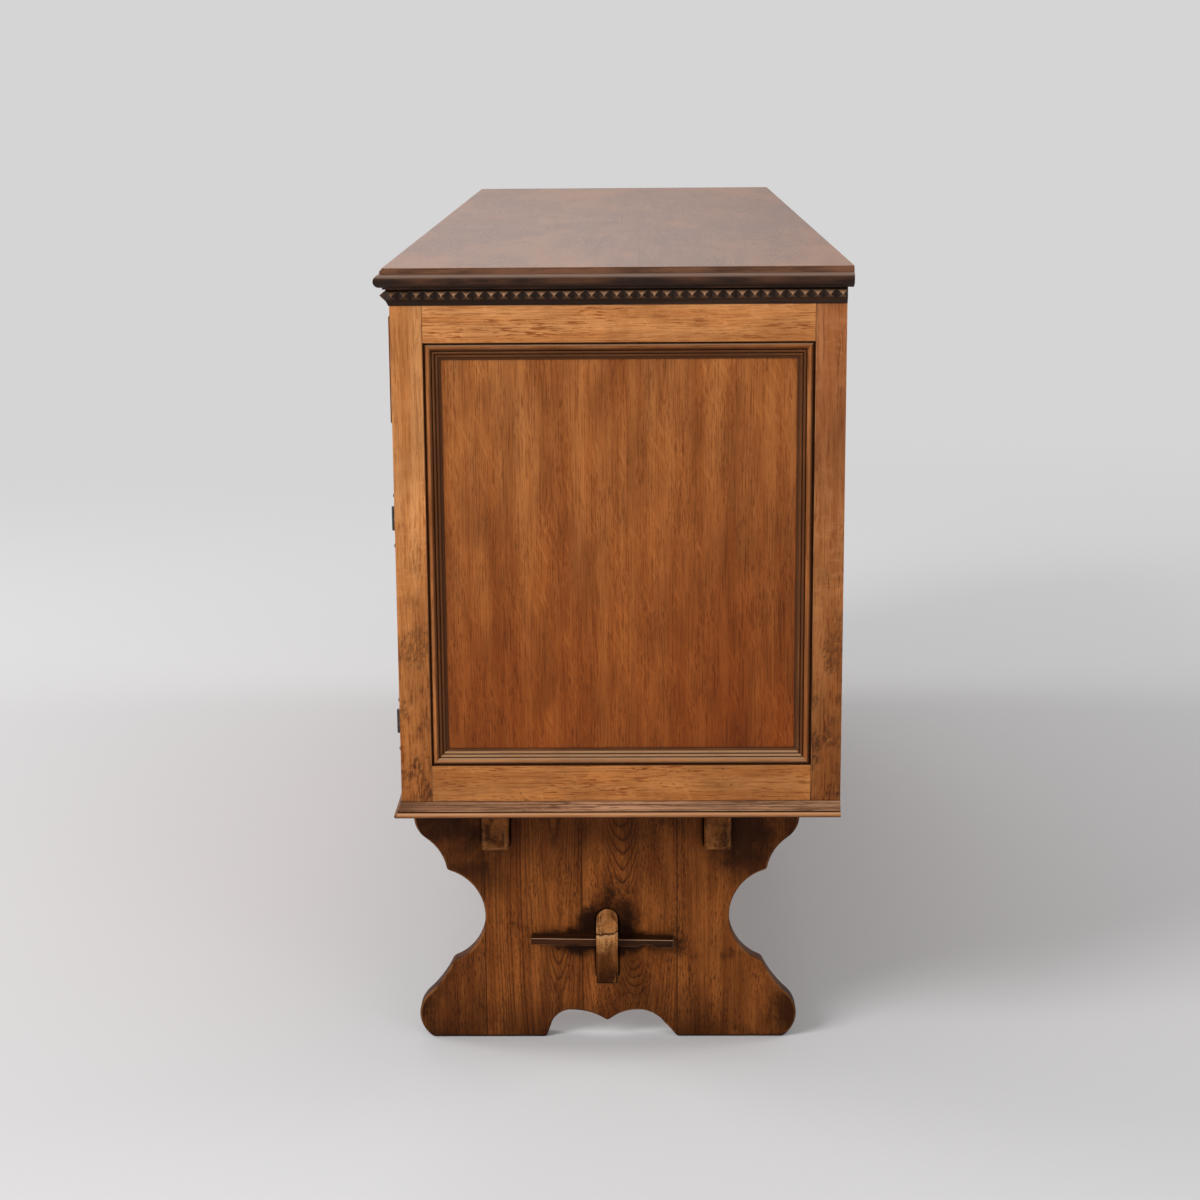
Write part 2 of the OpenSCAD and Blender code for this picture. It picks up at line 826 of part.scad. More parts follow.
// Cleat under one end of a shelf: those at the ends of the case run from post to post
module shelf_cleat(x, at_end) {
    y0 = at_end ? y_end_front : y_shelf;
    y1 = at_end ? y_end_back : y_inside_back;
    block([x, y0, z_shelf - cleat_h], [x + cleat_w, y1, z_shelf]);
}

// Stop behind the closing edge of a door, for an edge at x_edge beside a partition or end at x_room
module door_stop(x_edge, x_room) {
    y_rail = y_front + rail_t;
    reach = x_edge > x_room ? x_edge + stop_reach : x_edge - stop_reach;
    z0 = door_z - stop_h / 2;
    block([min(x_room, reach), y_rail, z0], [max(x_room, reach), y_rail + stop_reach, z0 + stop_h]);
    block([min(x_edge, reach), y_front + door_t + stop_clear, z0],
        [max(x_edge, reach), y_rail, z0 + stop_h]);
}

module shelf_cleats_and_door_stops() {
    color(oak_inside)
    for (bay = [LEFT, MIDDLE, RIGHT]) {
        shelf_cleat(room_x0(bay), bay == LEFT);
        shelf_cleat(room_x1(bay) - cleat_w, bay == RIGHT);
        if (hinge_side(bay) == 1)
            door_stop(bay_x(bay), room_x0(bay));
        else
            door_stop(bay_x(bay) + bay_w, room_x1(bay));
    }
}

// Runner, guide and kicker on the right side of a bay: its opening ends at x_open, its room at x_room
module runner_set(x_open, x_room) {
    y0 = y_front + rail_t;
    inner = x_open - runner_ledge;
    block([inner, y0, z_drawer_low - runner_h], [x_room, y_inside_back, z_drawer_low]);
    block([inner, y0, z_drawer_high], [x_room, y_inside_back, z_drawer_high + runner_h]);
    block([x_open, y0, z_drawer_low], [x_room, y_inside_back, z_drawer_low + runner_h]);
}

module drawer_runners() {
    color(oak_inside)
    difference() {
        for (bay = [LEFT, MIDDLE, RIGHT]) {
            runner_set(bay_x(bay) + bay_w, room_x1(bay));
            mirror([1, 0, 0]) runner_set(-bay_x(bay), -room_x0(bay));
        }
        both_ends() {
            block([x_end - post_w, y_front, z_case], [x_end, y_end_front, z_case_top]);
            block([x_end - post_w, y_end_back, z_case], [x_end, y_back, z_case_top]);
        }
    }
}

// Circle of the given centre kept between two heights
module circle_between(centre, r, low, high) {
    intersection() {
        translate(centre) circle(r = r, $fn = 96);
        translate([centre[0] - r - past, low]) square([2 * (r + past), high - low]);
    }
}

// Rear half of a trestle's outline: across from its middle, and height above the floor
module trestle_half() {
    top_c = [trestle_top_half - top_lobe_r, leg_h - top_lobe_down];
    top_dir = [cos(top_turn), -sin(top_turn)];
    top_turn_p = top_c + top_lobe_r * top_dir;
    top_hollow_c = top_c + (top_lobe_r + top_hollow_r) * top_dir;
    foot_c = [foot_half - foot_lobe_r, foot_lobe_z];
    foot_dir = [cos(foot_turn), sin(foot_turn)];
    foot_turn_p = foot_c + foot_lobe_r * foot_dir;
    foot_hollow_c = foot_c + (foot_lobe_r + foot_hollow_r) * foot_dir;
    foot_end_p = foot_hollow_c - foot_hollow_r * [cos(hollow_end), sin(hollow_end)];
    difference() {
        union() {
            polygon([[0, 0], [foot_c[0], 0], [foot_half, foot_lobe_z], foot_turn_p, foot_end_p,
                [top_hollow_c[0] - top_hollow_r, top_hollow_c[1]], top_turn_p,
                [trestle_top_half, leg_h - top_lobe_down], [trestle_top_half, leg_h], [0, leg_h]]);
            circle_between(foot_c, foot_lobe_r, 0, leg_h);
            circle_between(top_c, top_lobe_r, 0, leg_h);
        }
        circle_between(top_hollow_c, top_hollow_r, 0, leg_h);
        circle_between(foot_hollow_c, foot_hollow_r, 0, foot_end_p[1]);
        translate([waist_half + waist_r, waist_z]) circle(r = waist_r, $fn = 96);
    }
}

// Angle from one point to another
function heading(a, b) = atan2(b[1] - a[1], b[0] - a[0]);

// Space of the arch on one side: from the point in the middle over a round crest and down a straight flank
module arch_side(crest_off, outer_r, reach) {
    drop = arch_h - arch_point;
    inner_r = (crest_off * crest_off + drop * drop) / (2 * drop);
    crest = [crest_off, arch_h + crest_rise - outer_r];
    foot = [reach, 0];
    flank_a = heading(crest, foot) + acos(outer_r / norm(foot - crest));
    flank_r = outer_r - arch_bite;
    intersection() {
        translate([crest_off, arch_h - inner_r]) circle(r = inner_r, $fn = 96);
        union() {
            translate(crest) circle(r = outer_r, $fn = 96);
            polygon([[-past, -past], foot - [0, past], foot, crest + flank_r * [cos(flank_a), sin(flank_a)],
                crest, [crest_off, arch_h + past], [-past, arch_h + past]]);
        }
    }
}

// Space of one bearer, seen along its length
module bearer_section(side) {
    translate([y_trestle + side * bearer_off - bearer_t / 2, leg_h - bearer_h]) square([bearer_t, bearer_h]);
}

// Through tenon of the stretcher, seen along its length, with some play all round for its mortise
module through_section(play = 0) {
    half_t = through_t / 2 + play;
    z_round = through_z + through_h - through_t / 2;
    translate([y_trestle - half_t, through_z - play]) square([2 * half_t, z_round - through_z + play]);
    translate([y_trestle, z_round]) circle(r = half_t);
}

module trestle() {
    along_x(x_trestle - trestle_t, x_trestle)
        difference() {
            translate([y_trestle, 0]) {
                trestle_half();
                mirror([1, 0]) trestle_half();
            }
            translate([y_trestle, 0]) {
                arch_side(crest_back, crest_back_r, arch_back);
                mirror([1, 0]) arch_side(crest_front, crest_front_r, arch_front);
            }
            bearer_section(-1);
            bearer_section(1);
            through_section(through_play);
        }
}

module right_trestle() {
    color(oak_trestle) trestle();
}

module left_trestle() {
    color(oak_trestle) mirror([1, 0, 0]) trestle();
}

module bearers() {
    reach = x_trestle + bearer_out;
    c = bearer_chamfer;
    color(oak_trestle)
    for (side = [-1, 1]) {
        y_mid = y_trestle + side * bearer_off;
        y0 = y_mid - bearer_t / 2;
        y1 = y_mid + bearer_t / 2;
        intersection() {
            along_x(-reach, reach) bearer_section(side);
            translate([0, 0, leg_h - bearer_h]) linear_extrude(height = bearer_h)
                polygon([[-reach, y0 + c], [c - reach, y0], [reach - c, y0], [reach, y0 + c],
                    [reach, y1 - c], [reach - c, y1], [c - reach, y1], [-reach, y1 - c]]);
            along_y(y0, y1)
                polygon([[-reach, leg_h], [-reach, leg_h - bearer_h + c], [c - reach, leg_h - bearer_h],
                    [reach - c, leg_h - bearer_h], [reach, leg_h - bearer_h + c], [reach, leg_h]]);
        }
    }
}

// Wedge through the right tenon
module wedge() {
    y0 = y_trestle - wedge_front;
    y1 = y0 + wedge_len;
    z1 = wedge_z - wedge_fall;
    along_x(x_trestle, x_trestle + wedge_d)
        difference() {
            polygon([[y0, wedge_z - wedge_thin], [y1, z1 - wedge_h], [y1, z1], [y0, wedge_z]]);
            translate([y_trestle + scallop_off, z1 - wedge_h + scallop_d - scallop_r])
                circle(r = scallop_r);
        }
}

module stretcher() {
    reach = x_trestle + through_out;
    c = through_chamfer;
    r = through_round;
    y0 = y_trestle - through_t / 2;
    y1 = y_trestle + through_t / 2;
    z0 = through_z;
    z1 = through_z + through_h;
    shoulder = x_trestle - trestle_t;
    color(oak_trestle)
    difference() {
        union() {
            block([-shoulder, y_trestle - stretcher_t / 2, stretcher_z],
                [shoulder, y_trestle + stretcher_t / 2, stretcher_z + stretcher_h]);
            intersection() {
                along_x(-reach, reach) through_section();
                translate([0, 0, z0]) linear_extrude(height = through_h)
                    polygon([[-reach, y0 + c], [c - reach, y0], [reach - c, y0], [reach, y0 + c],
                        [reach, y1 - c], [reach - c, y1], [c - reach, y1], [-reach, y1 - c]]);
                along_y(y0, y1) {
                    translate([-reach, z0 + c]) square([2 * reach, through_h - r - c]);
                    translate([r - reach, z0]) square([2 * (reach - r), through_h]);
                    translate([c - reach, z0]) square([2 * (reach - c), c]);
                    translate([reach - r, z1 - r]) circle(r = r);
                    translate([r - reach, z1 - r]) circle(r = r);
                }
            }
        }
        both_ends() wedge();
    }
}

module tenon_wedges() {
    color(oak_trestle) both_ends() wedge();
}

// Round nail head on a face that looks to -Y
module nail_dome(x, y, z) {
    translate([x, y, z]) rotate([90, 0, 0]) rotate_extrude()
        intersection() {
            dome_section();
            square([nailhead_r + past, nailhead_h + past]);
        }
}

// Section of a nail head: a shallow arc over a flat base
module dome_section() {
    arc_r = (nailhead_r * nailhead_r + nailhead_h * nailhead_h) / (2 * nailhead_h);
    translate([0, nailhead_h - arc_r]) circle(r = arc_r);
}

// Leaf plate on the positive X side of the hinge axis, lying on the plane Y = 0
module leaf_plate() {
    rotate([90, 0, 0]) linear_extrude(height = leaf_t) {
        translate([leaf_off, -leaf_h / 2]) square([leaf_w, leaf_h]);
        for (side = [-1, 1])
            translate([leaf_off + leaf_w / 2, side * leaf_h / 2]) circle(r = leaf_w / 2);
    }
    for (z = [-nail_off, 0, nail_off])
        nail_dome(leaf_off + leaf_w / 2, -leaf_t, z);
}

// Knuckle between two heights with its neck to the leaf
module knuckle(z0, z1) {
    translate([0, -hinge_lift, z0]) cylinder(r = barrel_r, h = z1 - z0);
    block([0, -leaf_t, z0], [leaf_off + past, 0, z1]);
}

// Fixed leaf of a hinge: two knuckles and the pin
module fixed_leaf() {
    leaf_plate();
    knuckle(-barrel_h / 2, -barrel_h / 2 + knuckle_h);
    knuckle(barrel_h / 2 - knuckle_h, barrel_h / 2);
    translate([0, -hinge_lift, -barrel_h / 2]) cylinder(r = hinge_pin_r, h = barrel_h);
}

// Moving leaf of a hinge: one bored knuckle in the middle
module moving_leaf() {
    difference() {
        mirror([1, 0, 0]) {
            leaf_plate();
            knuckle(-knuckle_h / 2, knuckle_h / 2);
        }
        translate([0, -hinge_lift, -barrel_h / 2]) cylinder(r = hinge_pin_r + pin_clear, h = barrel_h);
    }
}

// Places its children at both hinges of a bay, turned to the side on which the door hangs
module at_hinges(bay) {
    for (z = hinge_zs)
        translate([hinge_x(bay), y_front, z])
            mirror([hinge_side(bay) == 1 ? 0 : 1, 0, 0]) children();
}

module hinge_fixed_leaves() {
    color(iron)
    for (bay = [LEFT, MIDDLE, RIGHT])
        at_hinges(bay) fixed_leaf();
}

// Backplate of a drop handle with its ears and pin, on the plane Y = 0
module handle_plate() {
    ear_in = drop_eye_w / 2 + ear_gap;
    ear_out = ear_in + drop_ear_t;
    rotate([90, 0, 0]) linear_extrude(height = plate_t) {
        circle(r = plate_r);
        polygon([[-plate_taper, 0], [0, -plate_h / 2], [plate_taper, 0], [0, plate_h / 2]]);
        for (side = [-1, 1])
            translate([0, side * plate_h / 2]) circle(r = nailhead_r + plate_rim);
    }
    for (side = [-1, 1])
        nail_dome(0, -plate_t, side * plate_h / 2);
    along_x(-ear_out, ear_out) translate([-drop_off, drop_pin_up]) circle(r = drop_pin_r);
    for (x = [-ear_out, ear_in])
        along_x(x, x + drop_ear_t) {
            translate([-drop_off, drop_pin_up]) circle(r = drop_eye_r);
            translate([-drop_off, drop_pin_up - drop_eye_r]) square([drop_off, 2 * drop_eye_r]);
        }
}

// Hanging drop of a handle, with the bore for its pin
module handle_drop() {
    collar_z = -drop_len / 3;
    bob_z = drop_r + drop_tip_r - drop_len;
    shoulder_a = 24;
    translate([0, -drop_off, drop_pin_up])
    difference() {
        union() {
            along_x(-drop_eye_w / 2, drop_eye_w / 2) circle(r = drop_eye_r);
            rotate_extrude()
                intersection() {
                    union() {
                        translate([0, bob_z]) circle(r = drop_r);
                        polygon([[0, -drop_pin_r], [drop_neck_r, -drop_pin_r], [drop_neck_r, collar_z],
                            [drop_r * cos(shoulder_a), bob_z + drop_r * sin(shoulder_a)], [0, bob_z]]);
                        translate([0, drop_tip_r - drop_len]) circle(r = drop_tip_r);
                        translate([0, collar_z]) circle(r = drop_collar_r);
                    }
                    translate([0, -drop_len - past]) square([drop_len, drop_len + past]);
                }
        }
        along_x(-drop_eye_w, drop_eye_w) circle(r = drop_pin_r + pin_clear);
    }
}

// Dovetails of one drawer side, seen from the side: they reach forwards from the shoulder
module dovetails(y_shoulder, z0) {
    step = drawer_side_h / dovetail_count;
    half = dovetail_w / 2;
    y_end = y_shoulder - dovetail_len;
    for (i = [0:dovetail_count - 1]) {
        z = z0 + (i + 0.5) * step;
        polygon([[y_shoulder, z - half], [y_end, z - half - dovetail_flare],
            [y_end, z + half + dovetail_flare], [y_shoulder, z + half]]);
    }
}

z_drawer_side = z_drawer_low + runner_clear;
y_shoulder = y_front + drawer_front_t;

// Both sides of a drawer with their dovetails
module drawer_sides(bay) {
    x0 = bay_x(bay) + drawer_gap;
    x1 = bay_x(bay) + bay_w - drawer_gap;
    for (x = [x0, x1 - drawer_side_t])
        along_x(x, x + drawer_side_t) {
            translate([y_shoulder, z_drawer_side]) square([drawer_len - drawer_front_t, drawer_side_h]);
            dovetails(y_shoulder, z_drawer_side);
        }
}

// Bottom of a drawer, which lies in grooves of the sides and the front, with some play all round
module drawer_bottom(bay, play = 0) {
    x0 = bay_x(bay) + drawer_gap + drawer_side_t / 2 - play;
    x1 = bay_x(bay) + bay_w - drawer_gap - drawer_side_t / 2 + play;
    z0 = z_drawer_side + drawer_bottom_up - play;
    block([x0, y_shoulder - drawer_side_t / 2 - play, z0],
        [x1, y_front + drawer_len + play, z0 + drawer_bottom_t + 2 * play]);
}

module drawer_front(bay) {
    x0 = bay_x(bay) + drawer_gap;
    x1 = bay_x(bay) + bay_w - drawer_gap;
    z0 = z_drawer_low + drawer_gap;
    z1 = z_drawer_high - drawer_gap;
    difference() {
        color(oak_light) block([x0, y_front, z0], [x1, y_shoulder, z1]);
        drawer_sides(bay);
        drawer_bottom(bay, glue);
    }
    color(oak_dark) translate([x0, y_front - glue, z0]) rotate([90, 0, 0]) trim_frame(x1 - x0, z1 - z0);
}

module drawer_box(bay) {
    x0 = bay_x(bay) + drawer_gap + drawer_side_t + glue;
    x1 = bay_x(bay) + bay_w - drawer_gap - drawer_side_t - glue;
    y1 = y_front + drawer_len;
    z_back = z_drawer_side + drawer_bottom_up + drawer_bottom_t + glue;
    color(oak_inside) {
        difference() {
            drawer_sides(bay);
            drawer_bottom(bay, glue);
        }
        drawer_bottom(bay);
        block([x0, y1 - drawer_side_t, z_back], [x1, y1, z_drawer_side + drawer_side_h]);
    }
}

// Places its children in the middle of a drawer front
module at_drawer_handle(bay) {
    translate([bay * bay_step, y_front, (z_drawer_low + z_drawer_high) / 2]) children();
}

// Edges of a door
function door_x0(bay) = bay_x(bay) + door_gap;
function door_x1(bay) = bay_x(bay) + bay_w - door_gap;
z_door_0 = z_door_low + door_gap;
z_door_1 = z_door_high - door_gap;

// Space of a door panel, grooves included
module door_panel_space(bay) {
    reach = door_stile_w - groove_d;
    block([door_x0(bay) + reach, y_front + panel_recess, z_door_0 + reach],
        [door_x1(bay) - reach, y_front + panel_recess + panel_t, z_door_1 - reach]);
}

// Bars that make the tenons of the door rails, with some play all round for their mortises
module door_tenon_bars(bay, play = 0) {
    y_mid = y_front + door_t / 2;
    half_t = tenon_t / 2 + play;
    reach = door_stile_w - 2 * tenon_len - play;
    inset = tenon_shoulder - play;
    for (z = [z_door_0, z_door_1 - door_stile_w])
        block([door_x0(bay) + reach, y_mid - half_t, z + inset],
            [door_x1(bay) - reach, y_mid + half_t, z + door_stile_w - inset]);
}

module door_frame(bay) {
    x0 = door_x0(bay);
    x1 = door_x1(bay);
    rail_0 = x0 + door_stile_w + glue;
    rail_1 = x1 - door_stile_w - glue;
    color(oak_light)
    difference() {
        union() {
            difference() {
                for (x = [x0, x1 - door_stile_w])
                    block([x, y_front, z_door_0], [x + door_stile_w, y_front + door_t, z_door_1]);
                door_tenon_bars(bay, glue);
            }
            for (z = [z_door_0, z_door_1 - door_stile_w])
                block([rail_0, y_front, z], [rail_1, y_front + door_t, z + door_stile_w]);
            door_tenon_bars(bay);
        }
        door_panel_space(bay);
    }
}

module door_panel(bay) {
    x0 = door_x0(bay) + door_stile_w;
    z0 = z_door_0 + door_stile_w;
    color(oak_panel) door_panel_space(bay);
    color(oak_dark)
    translate([x0, y_front + panel_recess - glue, z0]) rotate([90, 0, 0])
        trim_frame(door_x1(bay) - door_stile_w - x0, z_door_1 - door_stile_w - z0);
}

module door_hinge_leaves(bay) {
    color(iron) at_hinges(bay) moving_leaf();
}

// Places its children on the closing stile of a door, above its middle
module at_door_handle(bay) {
    x = hinge_side(bay) == 1 ? door_x0(bay) + door_stile_w / 2 : door_x1(bay) - door_stile_w / 2;
    translate([x, y_front, door_z + door_stile_w]) children();
}

module drawer_plate(bay) {
    color(iron) at_drawer_handle(bay) handle_plate();
}

module drawer_drop(bay) {
    color(iron) at_drawer_handle(bay) handle_drop();
}

module door_plate(bay) {
    color(iron) at_door_handle(bay) handle_plate();
}

module door_drop(bay) {
    color(iron) at_door_handle(bay) handle_drop();
}

top_front_board();
top_back_board();
nailhead_moulding_front();
nailhead_moulding_ends();
base_moulding_front();
base_moulding_ends();
right_front_post();
right_back_post();
left_front_post();
left_back_post();
right_end_rails();
right_end_panel();
right_end_trim();
left_end_rails();
left_end_panel();
left_end_trim();
front_top_rail();
front_middle_rails();
front_bottom_rail();
front_muntins();
partitions();
case_floor();
back_rails();
back_panel();
shelves();
shelf_cleats_and_door_stops();
drawer_runners();
right_trestle();
left_trestle();
bearers();
stretcher();
tenon_wedges();
hinge_fixed_leaves();
drawer_front(LEFT);  // left_drawer_front
drawer_box(LEFT);  // left_drawer_box
drawer_plate(LEFT);  // left_drawer_plate
drawer_drop(LEFT);  // left_drawer_drop
drawer_front(MIDDLE);  // middle_drawer_front
drawer_box(MIDDLE);  // middle_drawer_box
drawer_plate(MIDDLE);  // middle_drawer_plate
drawer_drop(MIDDLE);  // middle_drawer_drop
drawer_front(RIGHT);  // right_drawer_front
drawer_box(RIGHT);  // right_drawer_box
drawer_plate(RIGHT);  // right_drawer_plate
drawer_drop(RIGHT);  // right_drawer_drop
door_frame(LEFT);  // left_door_frame
door_panel(LEFT);  // left_door_panel
door_hinge_leaves(LEFT);  // left_door_hinge_leaves
door_plate(LEFT);  // left_door_plate
door_drop(LEFT);  // left_door_drop
door_frame(MIDDLE);  // middle_door_frame
door_panel(MIDDLE);  // middle_door_panel
door_hinge_leaves(MIDDLE);  // middle_door_hinge_leaves
door_plate(MIDDLE);  // middle_door_plate
door_drop(MIDDLE);  // middle_door_drop
door_frame(RIGHT);  // right_door_frame
door_panel(RIGHT);  // right_door_panel
door_hinge_leaves(RIGHT);  // right_door_hinge_leaves
door_plate(RIGHT);  // right_door_plate
door_drop(RIGHT);  // right_door_drop
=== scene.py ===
"""Looks of the oak sideboard on trestle ends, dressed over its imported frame.

Metres. X runs along the length with the photographed end at +X, the front faces -Y, Z is up.
"""
import json
import math
import random
from functools import reduce

import bmesh
import bpy
from mathutils import Matrix, Vector


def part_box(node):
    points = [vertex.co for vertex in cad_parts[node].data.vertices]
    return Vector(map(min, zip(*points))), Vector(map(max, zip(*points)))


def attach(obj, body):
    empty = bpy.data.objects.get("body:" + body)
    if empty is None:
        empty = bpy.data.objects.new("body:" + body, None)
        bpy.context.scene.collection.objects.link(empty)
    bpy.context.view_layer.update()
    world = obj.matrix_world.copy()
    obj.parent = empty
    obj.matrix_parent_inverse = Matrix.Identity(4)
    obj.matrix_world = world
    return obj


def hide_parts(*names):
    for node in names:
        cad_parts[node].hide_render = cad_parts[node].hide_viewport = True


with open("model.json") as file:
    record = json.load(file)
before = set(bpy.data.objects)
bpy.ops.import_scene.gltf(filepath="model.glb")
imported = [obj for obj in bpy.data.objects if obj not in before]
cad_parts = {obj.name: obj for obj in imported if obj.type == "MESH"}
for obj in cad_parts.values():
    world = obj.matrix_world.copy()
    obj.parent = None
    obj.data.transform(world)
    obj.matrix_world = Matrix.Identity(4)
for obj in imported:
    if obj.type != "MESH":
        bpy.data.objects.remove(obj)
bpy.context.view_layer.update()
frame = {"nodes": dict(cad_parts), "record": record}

MM = 0.001
X_AXIS, Y_AXIS, Z_AXIS = range(3)
LENGTHWAYS, BACKWARDS, UPWARDS = Vector((1, 0, 0)), Vector((0, 1, 0)), Vector((0, 0, 1))

# What the record says of each node
RECORD = frame["record"]
BODY_OF = {node: body for body, nodes in RECORD["behaviour"]["bodies"].items() for node in nodes}
BAYS = ("left", "middle", "right")

# Camera of the photograph, fitted to the straight edges in it
CAMERA_AT = Vector((3.3593, 0.0221, 1.0794))
CAMERA_YAW = 0.0153
CAMERA_PITCH = 0.2159
CAMERA_ROLL = -0.0075
FOCAL_PX = 2420.5
IMAGE_PX = 1200
SENSOR_WIDTH = 36.0
CLIP_END = 100

# Planes of the case, taken from the frame
POST_LOW, POST_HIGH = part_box("right_front_post")
BACK_POST_LOW, BACK_POST_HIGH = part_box("right_back_post")
TOP_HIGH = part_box("top_front_board")[1]
TRESTLE_LOW, TRESTLE_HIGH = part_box("right_trestle")
X_END = POST_HIGH.x
Y_FRONT = POST_LOW.y
Y_BACK = BACK_POST_HIGH.y
Y_MIDDLE = (Y_FRONT + Y_BACK) / 2
Z_CASE = POST_LOW.z
TRESTLE_Y = (TRESTLE_LOW.y + TRESTLE_HIGH.y) / 2

# Places and sizes that only the materials need
PANEL_SEAM = 12.5 * MM  # where the panel's two leaves meet, along Y
LEAF_SHIFT = 1.7  # of the second leaf, along its grain
LOW_BAND = (Z_CASE + 0.38, Z_CASE + 0.03)  # heights where the frame's low looks begin and are full
POST_DEPTH = 33 * MM  # of a corner post, along Y
POST_EDGES = (X_END - 45 * MM, X_END - 5 * MM)  # where the posts' own looks begin and are full
TENON_TOP = 153 * MM  # height of the stretcher's tenon
JOINT_EDGES = (1.1 * MM, 0.3 * MM)  # from a joint's middle, where its line begins and is full
STROKE_LEAN = -0.35  # of the dabs on the frame, across the grain

# Edge roundings
ARRIS = 0.7 * MM
SOFT_ARRIS = 3 * MM
FINE_ARRIS = 0.25 * MM
TOP_ARRIS = 0.15 * MM
NAILHEAD_ARRIS = 0.8 * MM
TENON_ARRIS = 2.4 * MM
WEDGE_ARRIS = 1.0 * MM

# Limits for edges that are rounded, sharp or dissolved, for welding, and for strips of trim
BEVEL_ANGLE = math.radians(28)
SMOOTH_ANGLE = math.radians(42)
FLAT_ANGLE = math.radians(0.6)
WELD = 0.01 * MM
TRIM_WIDTH = 30 * MM

# Linear colours that several pieces share, matched to the photograph
HONEY_PALE = (0.64, 0.285, 0.1)
BARK = (0.085, 0.032, 0.012)
# Near black of soot and dirt, also used as painted shade
SOOT_AND_SHADE = (0.016, 0.008, 0.005)
GROOVE = (0.085, 0.027, 0.009)
RUBBED = (0.62, 0.36, 0.19)

# The pale, middle and deep colour of each kind of wood
OAKS = {
    "frame": (HONEY_PALE, (0.525, 0.19, 0.05), (0.27, 0.075, 0.014)),
    "panel": ((0.5, 0.188, 0.053), (0.39, 0.126, 0.029), (0.15, 0.036, 0.005)),
    "trim": ((0.4, 0.148, 0.045), (0.28, 0.088, 0.023), (0.12, 0.034, 0.009)),
    "nailhead": ((0.05, 0.024, 0.014), (0.026, 0.012, 0.007), (0.01, 0.005, 0.003)),
    "base": ((0.47, 0.24, 0.13), (0.34, 0.158, 0.08), (0.105, 0.04, 0.019)),
    "top": ((0.252, 0.108, 0.05), (0.198, 0.08, 0.036), (0.102, 0.038, 0.017)),
    "trestle": ((0.27, 0.082, 0.017), (0.174, 0.047, 0.009), (0.034, 0.009, 0.003)),
    "tenon": ((0.63, 0.29, 0.098), (0.405, 0.157, 0.046), (0.085, 0.027, 0.007)),
    "wedge": ((0.062, 0.02, 0.007), (0.026, 0.009, 0.003), (0.01, 0.004, 0.002)),
    "bearer": ((0.25, 0.09, 0.025), (0.155, 0.05, 0.012), (0.05, 0.016, 0.004)),
    "inside": ((0.5, 0.34, 0.2), (0.42, 0.27, 0.15), (0.27, 0.155, 0.08)),
    "back": ((0.3, 0.134, 0.052), (0.24, 0.1, 0.036), (0.15, 0.058, 0.02)),
}

# Tints, which darken a colour: the veil's and the stretcher's are the wood's own, the others painted shade,
# and the back post's a darker stain as well
LOW_SHADE_TINT = (0.78, 0.72, 0.62)
LOW_POST_SHADE_TINT = (0.82, 0.72, 0.6)
BACK_POST_STAIN_AND_SHADE = (0.9, 0.78, 0.8)
VEIL_TINT = (0.72, 0.6, 0.48)
PANEL_LOW_SHADE = (0.72, 0.54, 0.34)
PANEL_BACK_SHADE = (0.86, 0.8, 0.74)
TOP_NEAR_SHADE = (0.95, 0.86, 0.74)
STRETCHER_TINT = (0.42, 0.32, 0.22)

# Stains, dust, dirt and wear of single pieces, and painted light and shade on them
SEAM_PALE = (0.43, 0.165, 0.045)
PANEL_EDGE_SHADE = (0.045, 0.014, 0.005)
TRIM_SHADE = (0.08, 0.027, 0.01)
TRIM_LIGHT = (0.42, 0.262, 0.155)
TRIM_LIT_DUST = (0.42, 0.24, 0.124)
TRIM_WORN = (0.52, 0.27, 0.125)
TRIM_DIRT_AND_SHADE = (0.074, 0.027, 0.011)
NAILHEAD_WORN_AND_LIT = (0.46, 0.245, 0.13)
BASE_STAIN = (0.15, 0.062, 0.029)
BASE_CORNER = (0.11, 0.048, 0.026)
BASE_UNDER_SHADE = (0.06, 0.022, 0.01)
BASE_FRONT_SHADE = (0.1, 0.042, 0.02)
BASE_DIRT_AND_SHADE = (0.03, 0.013, 0.008)
BEAD_ORANGE = (0.43, 0.165, 0.055)
BEAD_LIT = (0.64, 0.375, 0.205)
TOP_WARM = (0.3, 0.118, 0.044)
TOP_DIM = (0.13, 0.056, 0.03)
TOP_WORN = (0.3, 0.17, 0.1)
EDGE_STAINS = ((0.075, 0.032, 0.016), (0.185, 0.078, 0.04))
NOSE_STAINS = ((0.01, 0.004, 0.002), (0.072, 0.026, 0.011))
NOSE_HIGHLIGHT = (0.27, 0.18, 0.138)
ARCH_LINE = (0.04, 0.01, 0.002)
PATINA_AND_SHADOW = (0.02, 0.006, 0.002)
SAWN = (0.03, 0.009, 0.003)
STAVE_LINE = (0.03, 0.01, 0.003)
TRESTLE_WORN = (0.26, 0.1, 0.03)
TENON_STREAK = (0.07, 0.022, 0.007)
TENON_LOW = (0.072, 0.018, 0.003)
TENON_LOWEST = (0.02, 0.005, 0.002)
TENON_CHIP = (0.58, 0.34, 0.17)
TENON_GOLD = (0.3, 0.11, 0.03)
TENON_WORN = (0.34, 0.15, 0.05)
STRETCHER_BROWN = (0.15, 0.047, 0.011)
BEARER_SMOKE = (0.03, 0.009, 0.003)
BEARER_PATCH = (0.29, 0.1, 0.026)
BEARER_BROWN = (0.13, 0.041, 0.01)
BEARER_WORN = (0.36, 0.16, 0.06)
WEDGE_WORN = (0.4, 0.22, 0.12)
WEDGE_HIGHLIGHT = (0.56, 0.34, 0.2)
INSIDE_DIRT_AND_SHADE = (0.09, 0.05, 0.03)
IRON_BLACK = (0.04, 0.036, 0.034)
IRON_RUST = (0.075, 0.055, 0.043)
IRON_BRIGHT = (0.22, 0.2, 0.185)

